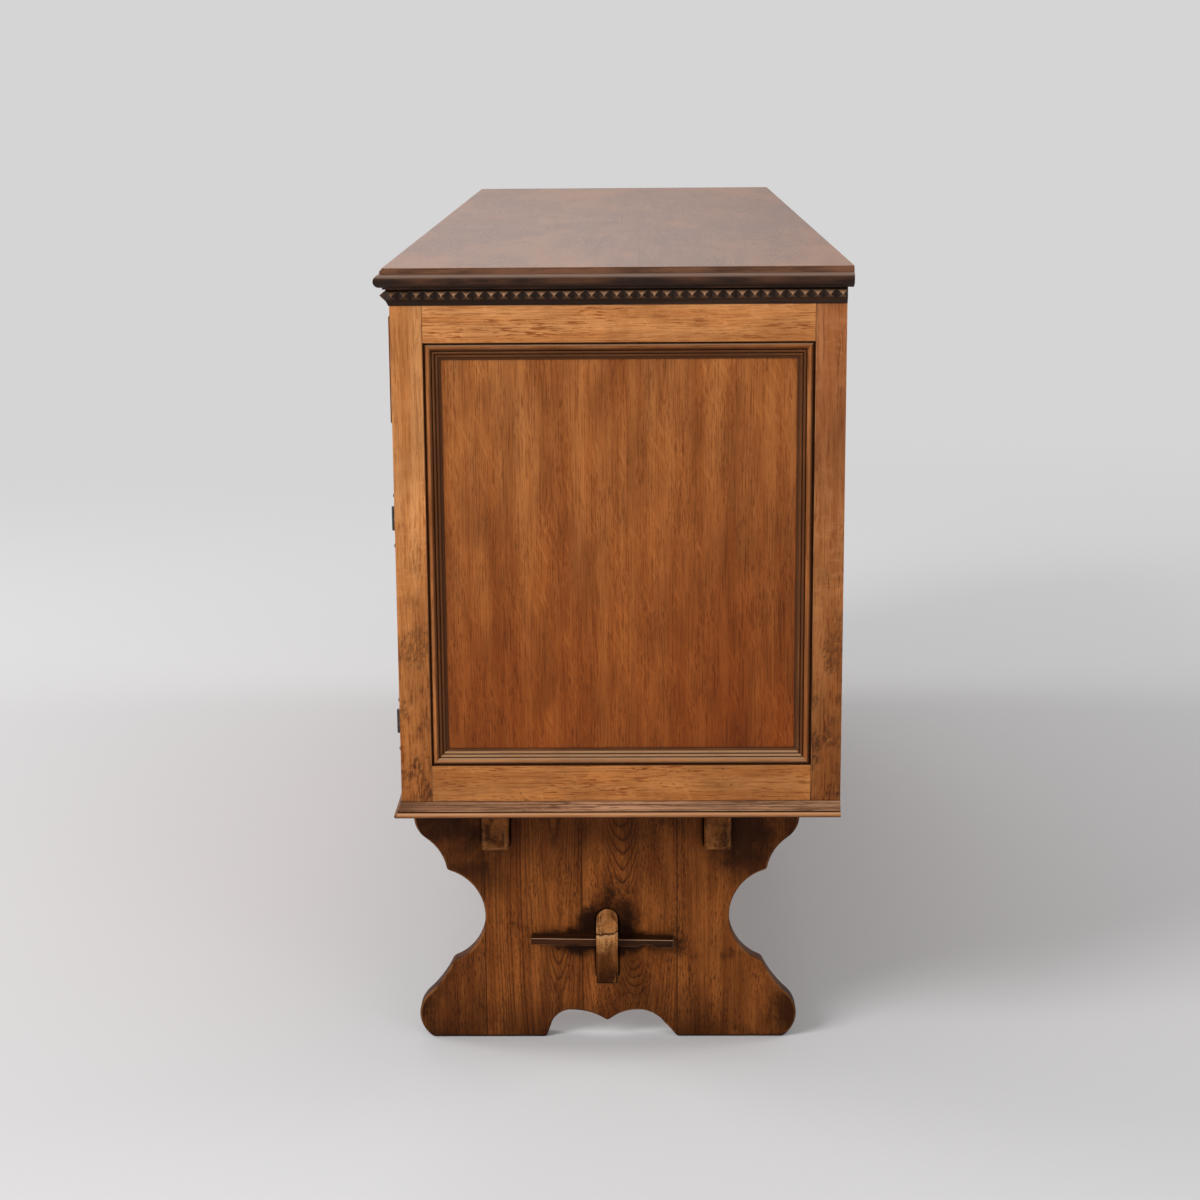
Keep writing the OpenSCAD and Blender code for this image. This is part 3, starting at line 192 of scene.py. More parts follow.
# Levels of the boards and chance in each: how far its figure is shifted along the grain, and its level
GRAIN_SHIFT = (-3.0, 3.0)
BOARD_LEVEL = (0.93, 1.07)
# The back posts are darker, for a darker stain and for painted shade
BACK_POST_SHADE = 0.7

# Shine of the surfaces, as a specular level
WAX_SHINE = 0.12
TOP_SHINE = 0.3
EDGE_SHINE = 0.17

# Pale surroundings; each lamp has its place, what it points at, its size and its watts
BACKDROP = (0.67, 0.665, 0.67)
AMBIENT_COLOUR = (0.97, 0.98, 1.0)
AMBIENT = 0.45
FLOOR_HALF = 60.0
FLOOR_FADE = (1.6, 4.2)
LAMPS = {
    "key": ((3.8, -4.2, 3.7), (0.6, 0.0, 0.5), 3.0, 235),
    "fill": ((5.0, 3.0, 2.2), (0.6, 0.0, 0.5), 2.6, 32),
    "front": ((-1.2, -5.2, 3.0), (0.0, 0.0, 0.5), 2.6, 120),
    "back": ((-1.0, 5.2, 3.0), (0.0, 0.0, 0.5), 2.6, 95),
    "far": ((-5.0, -0.6, 4.2), (-0.6, 0.0, 0.5), 3.0, 50),
}

# Joints between the staves of a trestle, across from its middle
STAVE_JOINTS = (-138 * MM, -28 * MM, 79 * MM)

# Each stave from the front: strength of its figure, place of its heart across and behind, slope, level
STAVES = (
    (0.3, 0.21, 40 * MM, 0.01, 0.84),
    (0.7, -25 * MM, 9 * MM, -0.05, 1.04),
    (0.6, 8 * MM, -24 * MM, 0.15, 1.2),
    (0.45, -0.24, 50 * MM, 0.02, 1.12),
)

# Arches of grain on a trestle: middle across, lowest and highest place, half width, rise, pitch
ARCHES = (
    (17 * MM, 0.172, 0.31, 23 * MM, 130.0, 16 * MM),
    (-55 * MM, 0.048, 0.125, 17 * MM, 260.0, 19 * MM),
    (31 * MM, 0.042, 0.1, 19 * MM, 140.0, 11 * MM),
)


def bead(run, height, radius, first, last, steps=12):
    """Points round a bead's section, rubbed on its crown, with grime and painted shade low down"""
    points = []
    for step in range(steps + 1):
        angle = math.radians(first + (last - first) * step / steps)
        out, up = math.cos(angle), math.sin(angle)
        rubbed = 0.35 * max(0.0, up) ** 10
        grime_and_shade = 0.6 * max(0.0, 0.35 - up)
        points.append((run + radius * out, height + radius * up, rubbed, grime_and_shade))
    return points


# Sections of the mouldings, in millimetres: run, height, rubbed crown, grime and painted shade in the
# groove
BEAD_END = 8.45
TRIM_SECTION = (
    [(0.15, 0.0, 0, 1), (0.15, 1.7, 0, 1), (1.9, 1.7, 0, 1)]
    + bead(5.3, 3.4, 3.1, 200, -20)
    + [(8.5, 1.8, 0, 0.8), (9.0, 1.8, 0, 0.8), (9.2, 3.7, 0, 0.4), (9.6, 4.2, 0.4, 0)]
    + [(10.6, 4.3, 0.2, 0), (11.5, 4.2, 0.4, 0), (11.9, 3.6, 0, 0.4), (12.1, 1.9, 0, 0.7)]
    + [(12.6, 1.9, 0, 0.7), (12.8, 2.4, 0, 0.4), (13.2, 2.8, 0.4, 0), (14.2, 2.8, 0.2, 0)]
    + [(15.1, 2.7, 0.4, 0), (15.5, 2.2, 0, 0.5), (15.8, 1.1, 0, 0.7), (16.8, 0.9, 0, 0.6)]
    + [(17.9, 1.1, 0, 0.5), (17.9, 0.0, 0, 1)]
)
BASE_SECTION = (
    [(0.0, 0.0, 0, 1), (5.1, 0.0, 0, 0.7)]
    + bead(5.1, 3.0, 3.0, -80, 100)
    + [(3.9, 6.0, 0, 1), (3.9, 7.1, 0, 1), (4.9, 7.2, 0, 0.5), (5.1, 7.5, 0.8, 0)]
    + [(5.1, 8.2, 0.8, 0), (4.8, 8.5, 0, 0.3), (4.2, 8.7, 0, 0.5), (3.7, 9.4, 0, 0.2)]
    + [(3.2, 10.4, 0, 0), (2.9, 11.2, 0, 0.1), (2.7, 11.4, 0, 0.45), (2.7, 11.7, 0, 0.45)]
    + [(2.8, 11.9, 0.3, 0), (2.5, 12.9, 0.2, 0), (2.1, 13.5, 0, 0.3), (1.5, 13.9, 0, 0.6)]
    + [(1.5, 14.2, 0, 0.6), (1.6, 14.4, 0.4, 0), (1.6, 17.2, 0, 0), (1.4, 17.4, 0, 0.5)]
    + [(0.0, 17.4, 0, 1)]
)


class Shader:
    """One material and its nodes: each method adds a node and returns its output socket"""

    def __init__(self, name, roughness=0.5, shine=WAX_SHINE, **sockets):
        self.material = bpy.data.materials.new(name)
        self.material.use_nodes = True
        self.tree = self.material.node_tree
        self.principled = self.tree.nodes["Principled BSDF"]
        self.principled.inputs["Roughness"].default_value = roughness
        self.principled.inputs["Specular IOR Level"].default_value = shine
        for socket, value in sockets.items():
            self.principled.inputs[socket.replace("_", " ")].default_value = value

    def put(self, socket, value):
        """Links a socket to another one, or gives it a number, a vector or a colour"""
        if isinstance(value, bpy.types.NodeSocket):
            self.tree.links.new(value, socket)
        elif hasattr(value, "__len__") and len(value) == 3 and socket.type == "RGBA":
            socket.default_value = (*value, 1.0)
        else:
            socket.default_value = value

    def node(self, kind, *values, **settings):
        """Adds a node with some of its settings, and fills its first sockets with the values"""
        made = self.tree.nodes.new(kind)
        for key, setting in settings.items():
            setattr(made, key, setting)
        for socket, value in zip(made.inputs, values):
            self.put(socket, value)
        return made

    def math(self, operation, a, b=0.0, c=0.0):
        return self.node("ShaderNodeMath", a, b, c, operation=operation).outputs[0]

    def times(self, *values):
        """The product of the values"""
        return reduce(lambda a, b: self.math("MULTIPLY", a, b), values)

    def most(self, *values):
        """The highest of the values"""
        return reduce(lambda a, b: self.math("MAXIMUM", a, b), values)

    def times_plus(self, a, b, c):
        """a times b, plus c"""
        return self.math("MULTIPLY_ADD", a, b, c)

    def minus(self, a, b):
        return self.math("SUBTRACT", a, b)

    def absolute(self, value):
        return self.math("ABSOLUTE", value)

    def apart(self, a, b):
        """How far two values lie apart"""
        return self.absolute(self.minus(a, b))

    def step(self, value, low, high, to_low=0.0, to_high=1.0):
        """Smooth step of a value between two limits"""
        limits = (low, high, to_low, to_high)
        made = self.node("ShaderNodeMapRange", value, *limits, interpolation_type="SMOOTHSTEP")
        return made.outputs["Result"]

    def vector_math(self, operation, a, b=(0.0, 0.0, 0.0)):
        made = self.node("ShaderNodeVectorMath", a, b, operation=operation)
        return made.outputs["Value" if operation == "LENGTH" else "Vector"]

    def split(self, vector):
        """The three parts of a vector"""
        return self.node("ShaderNodeSeparateXYZ", vector).outputs[:]

    def join(self, x, y, z):
        return self.node("ShaderNodeCombineXYZ", x, y, z).outputs[0]

    def attribute(self, name, output="Fac"):
        return self.node("ShaderNodeAttribute", attribute_name=name).outputs[output]

    def grain(self):
        """Place in the tree that the board was cut from, X along its grain"""
        return self.attribute("grain", "Vector")

    def place(self):
        """Place in the frame of the part, at rest"""
        return self.node("ShaderNodeTexCoord").outputs["Object"]

    def facing(self):
        """The way that the surface looks in its own piece, before its bump"""
        return self.node("ShaderNodeTexCoord").outputs["Normal"]

    def rim(self):
        """1 along the crown of a rounded edge, 0 on the faces beside it"""
        return self.step(self.attribute("rim"), 0.1, 0.75)

    def crevice(self, reach):
        """1 deep in a corner or groove, 0 in the open"""
        made = self.node("ShaderNodeAmbientOcclusion", samples=8)
        made.inputs["Distance"].default_value = reach
        return self.minus(1.0, made.outputs["AO"])

    def noise(self, vector, *scales, detail=2.0, roughness=0.5, distortion=0.0):
        """Noise from 0 to 1; its scales, per metre, are one for all axes, two along and across, or three"""
        if len(scales) < 3:
            scales = (scales[0], scales[-1], scales[-1])
        made = self.node("ShaderNodeTexNoise", self.vector_math("MULTIPLY", vector, scales))
        made.inputs["Scale"].default_value = 1.0
        made.inputs["Detail"].default_value = detail
        made.inputs["Roughness"].default_value = roughness
        made.inputs["Distortion"].default_value = distortion
        return made.outputs["Fac"]

    def mix(self, a, b, *factors, blend="MIX"):
        """Colour a turned into colour b as far as the product of the factors says"""
        made = self.node("ShaderNodeMix", self.times(*factors), data_type="RGBA", blend_type=blend)
        self.put(made.inputs[6], a)
        self.put(made.inputs[7], b)
        return made.outputs[2]

    def tint(self, colour, shade, *factors):
        """A colour multiplied by another one, as far as the factors say"""
        return self.mix(colour, shade, *factors, blend="MULTIPLY")

    def darken(self, colour, amount):
        """A colour times a number"""
        made = self.node("ShaderNodeVectorMath", colour, operation="SCALE")
        self.put(made.inputs["Scale"], amount)
        return made.outputs["Vector"]

    def finish(self, colour, height=None, bump=0.3, depth=0.3 * MM, roughness=None):
        """Gives the material its colour, bump and roughness"""
        self.put(self.principled.inputs["Base Color"], colour)
        if roughness is not None:
            self.put(self.principled.inputs["Roughness"], roughness)
        if height is not None:
            made = self.node("ShaderNodeBump")
            made.inputs["Strength"].default_value = bump
            made.inputs["Distance"].default_value = depth
            self.put(made.inputs["Height"], height)
            self.put(self.principled.inputs["Normal"], made.outputs["Normal"])
        return self.material


def oak(s, kind, ring=4 * MM, rings=0.5, streaks=0.4, pores=0.6, fleck=0.3, mottle=0.35,
        grain=None, lean=0.0, band=1.0, stroke=(55.0, 620.0), line=(14.0, 420.0)):
    """Oak figure along the boards' own grain: returns its colour and a height for the bump

    ring is the width of a year. rings, streaks, pores and fleck are how strong the years, fine lines, pores
    and pale rays are. mottle is how uneven the level is, and band how strong the pale bands are.
    stroke and line are the scales of the pores and the lines, along and across. lean makes the rays slant.
    """
    pale, middle, deep = OAKS[kind]
    grain = grain or s.grain()
    x, y, z = s.split(grain)

    # The years: distance from the heart of the tree, which wanders
    heart = s.vector_math("LENGTH", s.join(0.0, y, z))
    heart = s.times_plus(s.noise(grain, 1.6, 7.0), 24 * MM, heart)
    heart = s.times_plus(s.noise(grain, 14.0, 70.0), 2.5 * MM, heart)
    years = s.join(heart, x, 0.0)
    uneven = s.noise(years, 1.1 / ring / 4, 0.8, 1.0)
    strong = s.step(s.noise(years, 0.35 / ring / 4, 2.0, 1.0), 0.38, 0.62, 0.25, 1.0)
    year = s.math("FRACT", s.times_plus(uneven, 4.0, s.math("DIVIDE", heart, ring)))
    early = s.times(s.step(year, 0.0, 0.14), s.step(year, 0.6, 0.16), strong, s.attribute("figure"))

    # Fine lines, pores and rays
    lines = s.step(s.noise(grain, *line, detail=4.0, roughness=0.65), 0.46, 0.68)
    crowd = s.step(s.noise(grain, 10.0, 45.0), 0.42, 0.6, 0.35, 1.0)
    dashes = s.step(s.noise(grain, *stroke, roughness=0.6), 0.53, 0.63)
    dashes = s.times(dashes, s.most(early, crowd))
    blotch = s.noise(grain, 9.0, 24.0, detail=4.0, roughness=0.6)
    if lean:
        slanting = s.join(x, s.times_plus(x, lean, y), z)
        rays = s.noise(slanting, 40.0, 330.0, distortion=0.3)
    else:
        slanting = s.join(s.times_plus(y, 0.6, x), y, z)
        rays = s.noise(slanting, 190.0, 50.0, distortion=0.6)
    rays = s.times(s.step(rays, 0.54, 0.66), s.step(blotch, 0.4, 0.58))

    # Colour, level and height
    broad = s.step(s.noise(grain, 4.0, 75.0, detail=3.0), 0.35, 0.68)
    colour = s.mix(middle, pale, s.times_plus(broad, band, 0.4 * (1.0 - band)))
    colour = s.mix(colour, deep, early, rings)
    colour = s.mix(colour, deep, lines, streaks)
    colour = s.mix(colour, pale, rays, fleck)
    colour = s.mix(colour, deep, dashes, pores)
    level = s.times_plus(s.step(blotch, 0.28, 0.72), mottle, 1.0 - mottle / 2)
    level = s.times(level, s.attribute("tone"))
    carved = s.most(dashes, s.times(s.most(early, lines), 0.4))
    return s.darken(colour, level), s.minus(1.0, carved)


def aged(s, colour, dirt_and_shade=SOOT_AND_SHADE, reach=7 * MM, dirt_and_shade_strength=0.8, wear=RUBBED, wear_strength=0.35):
    """The colour with dark dirt and painted shade in the corners, and with rubbed edges"""
    patches = s.noise(s.place(), 34.0, detail=3.0)
    grime_and_shade = s.most(s.crevice(reach), s.times(s.attribute("grime_and_shade"), 0.8))
    # Darker in corners and grooves: dirt and painted shade
    depth = s.step(s.math("ADD", grime_and_shade, s.times_plus(patches, 0.3, -0.15)), 0.12, 0.75)
    rub = s.times(s.rim(), s.step(patches, 0.38, 0.58), s.step(depth, 0.5, 0.1))
    colour = s.mix(colour, wear, rub, wear_strength)
    return s.mix(colour, dirt_and_shade, depth, dirt_and_shade_strength)


def drawn_joint(s, gap, strength):
    """Line of a glued joint, from the distance to its middle"""
    return s.step(gap, *JOINT_EDGES, 0.0, strength)


def beyond_trestle(s, x):
    """1 on what sticks out of the trestles, 0 between them"""
    return s.step(s.absolute(x), TRESTLE_HIGH.x - 4 * MM, TRESTLE_HIGH.x)


def frame_oak():
    """Honey oak, smooth high up, with dark strokes, specks, smoke and painted shade low down"""
    s = Shader("frame_oak", 0.46)
    place = s.place()
    x, y, z = s.split(place)
    low = s.step(z, *LOW_BAND)
    on_post = s.math("GREATER_THAN", s.apart(y, Y_MIDDLE), (Y_BACK - Y_FRONT) / 2 - POST_DEPTH)
    on_post = s.times(on_post, s.step(s.absolute(x), *POST_EDGES))
    low_post = s.times(low, on_post)
    pores = s.times_plus(s.minus(on_post, low_post), -0.4, 1.0)
    colour, height = oak(s, "frame", ring=3.2 * MM, rings=0.3, streaks=0.55, pores=pores, fleck=0.45,
                         mottle=0.4, band=0.7, line=(20.0, 560.0))

    # Pale clouds, smoke, specks and dabs that lean across the grain
    cloud = s.noise(place, 18.0, 26.0, 22.0, detail=4.0, roughness=0.6, distortion=0.8)
    colour = s.mix(colour, HONEY_PALE, s.step(cloud, 0.52, 0.68, 0.0, 0.22))
    smoke = s.step(s.noise(place, 30.0, 30.0, 22.0, detail=5.0, roughness=0.7), 0.44, 0.62)
    along, deep, wide = s.split(s.grain())
    leaning = [s.times_plus(along, STROKE_LEAN, across) for across in (deep, wide)]
    fine = s.noise(s.join(along, *leaning), 110.0, 300.0)
    colour = s.mix(colour, BARK, s.step(fine, 0.68, 0.75), s.times_plus(low, 0.4, 0.3))
    colour = s.mix(colour, BARK, smoke, s.times_plus(low_post, 0.2, 0.06))
    colour = s.mix(colour, BARK, smoke, low_post, s.step(fine, 0.42, 0.55), 0.78)
    # Painted shade: darker low down, more so on the posts
    colour = s.tint(colour, LOW_SHADE_TINT, low)
    colour = s.tint(colour, LOW_POST_SHADE_TINT, low_post)

    # Joints of posts and rails, painted shade on the sides that stand proud of the front, and the back post
    # darker with stain and painted shade
    out_x, out_y = s.split(s.facing())[:2]
    joint = s.math("MINIMUM", s.apart(y, POST_HIGH.y), s.apart(y, BACK_POST_LOW.y))
    joint = s.times(drawn_joint(s, joint, 0.65), s.step(s.absolute(out_x), 0.3, 0.6))
    colour = s.mix(colour, BARK, joint, s.step(cloud, 0.35, 0.55, 0.5, 1.0))
    proud = s.step(y, Y_FRONT - 0.4 * MM, Y_FRONT - 1.2 * MM)
    colour = s.mix(colour, SOOT_AND_SHADE, proud, s.step(out_y, -0.85, -0.35), 0.75)
    behind = s.math("GREATER_THAN", y, Y_BACK - POST_DEPTH)
    colour = s.tint(colour, BACK_POST_STAIN_AND_SHADE, behind, s.step(z, Z_CASE + 0.25, Z_CASE + 0.45, 0.35, 1.0))
    # Pale rubbed edges, which also stand for the highlights along them, and dirt and painted shade in the
    # corners
    colour = aged(s, colour, dirt_and_shade=GROOVE, dirt_and_shade_strength=0.9, wear=HONEY_PALE, wear_strength=0.6)
    return s.finish(colour, height, 0.4)


def panel_oak():
    """Two leaves of veneer with a seam, with painted shade down, to the back and next to the trim"""
    s = Shader("panel_oak", 0.42)
    y, z = s.split(s.place())[1:]
    leaf = s.math("GREATER_THAN", y, PANEL_SEAM)
    grain = s.vector_math("ADD", s.grain(), s.join(s.times(leaf, LEAF_SHIFT), 0.0, 0.0))
    colour, height = oak(s, "panel", ring=2.6 * MM, rings=0.15, streaks=0.6, fleck=0.62, mottle=0.4,
                         grain=grain, lean=0.35, band=0.75, stroke=(80.0, 950.0), line=(16.0, 800.0))
    veil = s.step(s.noise(grain, 2.5, 22.0, detail=3.0, roughness=0.6), 0.34, 0.66)
    colour = s.tint(colour, VEIL_TINT, veil, 0.75)
    seam = s.step(s.apart(y, PANEL_SEAM + 6 * MM), 7 * MM, 2 * MM)
    colour = s.mix(colour, SEAM_PALE, seam, 0.22)
    # Painted shade, darker down and to the back
    colour = s.tint(colour, PANEL_LOW_SHADE, s.step(z, Z_CASE + 0.5, Z_CASE + 0.08))
    colour = s.tint(colour, PANEL_BACK_SHADE, s.step(y, -0.16, 0.2))
    # Painted shade next to the trim
    shaded_near_trim = s.step(s.crevice(22 * MM), 0.04, 0.4)
    colour = s.mix(colour, PANEL_EDGE_SHADE, shaded_near_trim, 0.65)
    return s.finish(aged(s, colour, dirt_and_shade_strength=0.85, wear_strength=0.1), height, 0.2)


def trim_oak():
    """Brown moulding with dark grooves, with painted light where it looks up and painted shade where it
    looks in or down
    """
    s = Shader("trim_oak", 0.44, shine=0.05)
    colour, height = oak(s, "trim", ring=2.4 * MM, rings=0.2, streaks=0.6, fleck=0.1, mottle=0.6)
    out_x, out_y, out_z = s.split(s.facing())
    grime_and_shade = s.attribute("grime_and_shade")
    # Painted shade where it looks in or down, painted light where it looks up
    shaded = s.step(s.times_plus(out_y, -0.8, out_z), 0.1, -0.55)
    colour = s.mix(colour, TRIM_SHADE, shaded, 0.75)
    lit = s.step(s.times_plus(out_y, -0.35, out_z), 0.3, 0.85)
    colour = s.mix(colour, TRIM_LIGHT, lit, 0.72)
    patches = s.noise(s.place(), 34.0, detail=3.0)
    # Pale dust and painted light on the lowest strip
    lit_dust = s.times(s.attribute("lit_dust"), s.step(patches, 0.2, 0.6, 0.5, 0.85))
    colour = s.mix(colour, TRIM_LIT_DUST, lit_dust, s.step(grime_and_shade, 0.45, 0.05))
    worn = s.times(s.rim(), s.step(patches, 0.38, 0.62))
    colour = s.mix(colour, TRIM_WORN, worn, 0.5)
    # Grime in the grooves, and painted shade on the inner steps of the upper and side strips
    dirty_and_shaded = s.step(s.times_plus(patches, 0.3, grime_and_shade), 0.1, 1.0, 0.0, 0.92)
    colour = s.mix(colour, TRIM_DIRT_AND_SHADE, dirty_and_shaded)
    # Darker deep in the grooves: grime and painted shade
    colour = s.mix(colour, GROOVE, s.step(s.crevice(2.5 * MM), 0.35, 0.9, 0.0, 0.6))
    # Painted shade on the sides that stand proud of the front
    proud = s.step(s.split(s.place())[1], Y_FRONT - 0.5 * MM, Y_FRONT - 1.5 * MM)
    colour = s.mix(colour, SOOT_AND_SHADE, proud, s.step(s.absolute(out_x), 0.4, 0.8, 0.0, 0.85))
    return s.finish(colour, height, 0.35)


def nailhead_oak():
    """Near black; the upper facet of each point is pale towards its tip with wear and painted light, the
    lower one a little, and the hollows are dark with dirt and painted shade
    """
    s = Shader("nailhead_oak", 0.42)
    colour, height = oak(s, "nailhead", ring=2.4 * MM, rings=0.3, streaks=0.5, pores=0.5, fleck=0.0)
    place = s.place()
    x, y = s.split(place)[:2]
    proud = s.most(s.minus(s.absolute(x), X_END), s.minus(Y_FRONT, y))
    up = s.split(s.facing())[2]
    # Wear and painted light: most on the upper facets, a little on the lower ones, and at the tips
    upper_lit = s.times(s.step(up, 0.1, 0.62), s.step(proud, 3.2 * MM, 9.0 * MM, 0.12, 1.0))
    lower = s.times(s.step(up, -0.1, -0.62), s.step(proud, 3.6 * MM, 10.0 * MM, 0.0, 0.34))
    tip = s.step(proud, 8.8 * MM, 10.2 * MM, 0.0, 0.8)
    worn = s.times(s.most(upper_lit, lower, tip), s.step(y, Y_FRONT - 5 * MM, Y_FRONT + 60 * MM, 0.35, 1.0))
    patches = s.step(s.noise(place, 90.0, detail=3.0), 0.25, 0.6, 0.45, 1.0)
    colour = s.mix(colour, NAILHEAD_WORN_AND_LIT, worn, patches)
    # Dark hollows between the points: dirt and painted shade
    depth = s.step(s.crevice(5 * MM), 0.2, 0.7)
    return s.finish(s.mix(colour, SOOT_AND_SHADE, depth, 0.9), height, 0.2)


def base_oak():
    """Brown moulding with dark lines and an orange bead, with a painted highlight on the bead's upper side
    and painted shade where it looks down and on its front
    """
    s = Shader("base_oak", 0.44, shine=0.06)
    colour, height = oak(s, "base", ring=2.4 * MM, rings=0.25, streaks=0.85, pores=0.8, fleck=0.1,
                         mottle=0.5)
    place = s.place()
    y, z = s.split(place)[1:]
    up = s.split(s.facing())[2]
    stain = s.step(s.noise(place, 9.0, 9.0, 60.0, detail=4.0, roughness=0.6), 0.44, 0.62, 0.0, 0.55)
    colour = s.mix(colour, BASE_STAIN, stain)
    colour = s.mix(colour, BASE_CORNER, s.step(y, Y_FRONT + 45 * MM, Y_FRONT - 10 * MM, 0.0, 0.6))
    on_bead = s.step(z, Z_CASE + 6.6 * MM, Z_CASE + 5.8 * MM)
    colour = s.mix(colour, BEAD_ORANGE, on_bead, 0.7)
    # Painted highlight on the upper side of the bead
    lit = s.times(s.step(up, 0.15, 0.55), on_bead, s.step(up, 0.98, 0.8))
    colour = s.mix(colour, BEAD_LIT, lit, 0.5)
    # Painted shade where it looks down, and on the part that stands furthest out at the front
    colour = s.mix(colour, BASE_UNDER_SHADE, s.step(up, -0.25, -0.85, 0.0, 0.85))
    colour = s.mix(colour, BASE_FRONT_SHADE, s.step(y, Y_FRONT - 3.0 * MM, Y_FRONT - 7.5 * MM, 0.0, 0.8))
    colour = aged(s, colour, dirt_and_shade=BASE_DIRT_AND_SHADE, reach=3 * MM, dirt_and_shade_strength=0.95, wear_strength=0.5)
    return s.finish(colour, height, 0.3)


def top_oak():
    """Satin greyed top with painted shade on its near part; its moulded edge is darker, with a painted
    highlight on its crown and painted shade on its underside
    """
    s = Shader("top_oak", 0.45)
    colour, height = oak(s, "top", ring=3.2 * MM, rings=0.65, streaks=0.55, pores=0.85, fleck=0.15,
                         mottle=0.14, band=0.8)
    place = s.place()
    x, y, z = s.split(place)
    up = s.split(s.facing())[2]
    # Painted shade on the near part of the top
    colour = s.tint(colour, TOP_NEAR_SHADE, s.step(x, 0.3, X_END), s.step(y, 0.05, Y_FRONT))
    drift = s.noise(place, 2.2, 7.0, detail=4.0, roughness=0.6)
    colour = s.mix(colour, TOP_WARM, s.step(drift, 0.46, 0.66, 0.0, 0.55))
    colour = s.mix(colour, TOP_DIM, s.step(drift, 0.46, 0.3, 0.0, 0.4))

    # The moulded edge, from its upper steps to its nose, with a painted highlight and painted shade
    below = s.minus(TOP_HIGH.z, z)
    stain = s.step(s.noise(place, 14.0, 14.0, 90.0, detail=4.0, roughness=0.6), 0.4, 0.66)
    edge = s.mix(*EDGE_STAINS, stain)
    nose = s.mix(*NOSE_STAINS, stain)
    edge = s.mix(edge, nose, s.step(below, 6.0 * MM, 7.0 * MM))
    # Painted highlight on the crown of the nose
    crown = s.times(s.step(up, 0.35, 0.78), s.step(below, 5.0 * MM, 6.6 * MM))
    edge = s.mix(edge, NOSE_HIGHLIGHT, crown, 0.75)
    # Painted shade where the edge looks down
    edge = s.mix(edge, SOOT_AND_SHADE, s.step(up, -0.15, -0.75, 0.0, 0.9))
    on_edge = s.step(below, 0.3 * MM, 0.9 * MM)
    colour = s.mix(colour, edge, on_edge, 0.95)
    shine = s.times_plus(on_edge, EDGE_SHINE - TOP_SHINE, TOP_SHINE)
    s.put(s.principled.inputs["Specular IOR Level"], shine)
    colour = aged(s, colour, reach=3 * MM, dirt_and_shade_strength=0.95, wear=TOP_WORN)
    return s.finish(colour, height, 0.28, 0.12 * MM)


def arch(s, off, z, middle, low, high, width, rise, pitch):
    """1 on the lines of nested arches of grain, closed downwards, in one patch"""
    wobble = s.noise(s.place(), 70.0, 70.0, 25.0)
    across = s.apart(off, middle)
    way = s.minus(s.times_plus(wobble, 0.018, z), s.times(across, across, rise))
    year = s.math("FRACT", s.math("DIVIDE", way, pitch))
    line = s.times(s.step(year, 0.0, 0.12), s.step(year, 0.46, 0.14))
    patch = s.times(s.step(z, low, low + 14 * MM), s.step(z, high, high - 14 * MM))
    return s.times(patch, s.step(across, width, 0.55 * width), line)


def trestle_oak():
    """Dark staves, darker at the top, with older, blacker patina on the lobes and feet, and patina and
    painted shadow round the tenon and by the wedge
    """
    s = Shader("trestle_oak", 0.46, shine=0.05)
    colour, height = oak(s, "trestle", ring=3.8 * MM, rings=0.95, pores=0.75, mottle=0.45, lean=0.5,
                         stroke=(120.0, 900.0), line=(16.0, 640.0))
    place = s.place()
    y, z = s.split(place)[1:]
    off = s.minus(y, TRESTLE_Y)
    across = s.absolute(off)
    for shape in ARCHES:
        colour = s.mix(colour, ARCH_LINE, arch(s, off, z, *shape), 0.72)

    # Darker at the top, patina on the lobes, shoulders and feet, and patina with painted shadow round the
    # tenon and by the wedge, their edges ragged with smoke
    smoke = s.noise(place, 16.0, detail=5.0, roughness=0.65)
    high = s.step(z, Z_CASE - 0.1, Z_CASE - 0.01, 0.0, 0.74)
    lobes = s.step(s.times_plus(smoke, 0.06, across), 0.185, 0.245, 0.0, 0.9)
    shoulders = s.step(s.times_plus(smoke, 0.08, across), 0.125, 0.19)
    shoulders = s.times(shoulders, s.step(z, 0.15, 0.215, 0.0, 0.9))
    above = s.minus(z, TENON_TOP - 9 * MM)
    round_tenon = s.vector_math("LENGTH", s.join(0.0, s.minus(off, 6 * MM), above))
    round_tenon = s.step(s.times_plus(smoke, -0.1, round_tenon), -0.002, -0.032)
    by_wedge = s.most(s.times(s.apart(z, TENON_TOP - 0.037), 2.2), s.times(across, 0.42))
    by_wedge = s.step(s.times_plus(smoke, -0.18, by_wedge), -0.044, -0.08, 0.0, 0.95)
    feet = s.step(s.times_plus(smoke, 0.07, z), 0.115, 0.03, 0.0, 0.8)
    patina_and_shadow_mask = s.most(high, lobes, shoulders, round_tenon, by_wedge, feet)
    colour = s.mix(colour, PATINA_AND_SHADOW, patina_and_shadow_mask, s.step(smoke, 0.3, 0.58, 0.35, 1.0))

    # Sawn edges and the joints between the staves
    out_x = s.split(s.facing())[0]
    colour = s.mix(colour, SAWN, s.step(s.absolute(out_x), 0.9, 0.5, 0.0, 0.7))
    for joint in STAVE_JOINTS:
        colour = s.mix(colour, STAVE_LINE, drawn_joint(s, s.apart(off, joint), 0.75))
    colour = aged(s, colour, reach=9 * MM, dirt_and_shade_strength=0.85, wear=TRESTLE_WORN, wear_strength=0.5)
    return s.finish(colour, height, 0.45)


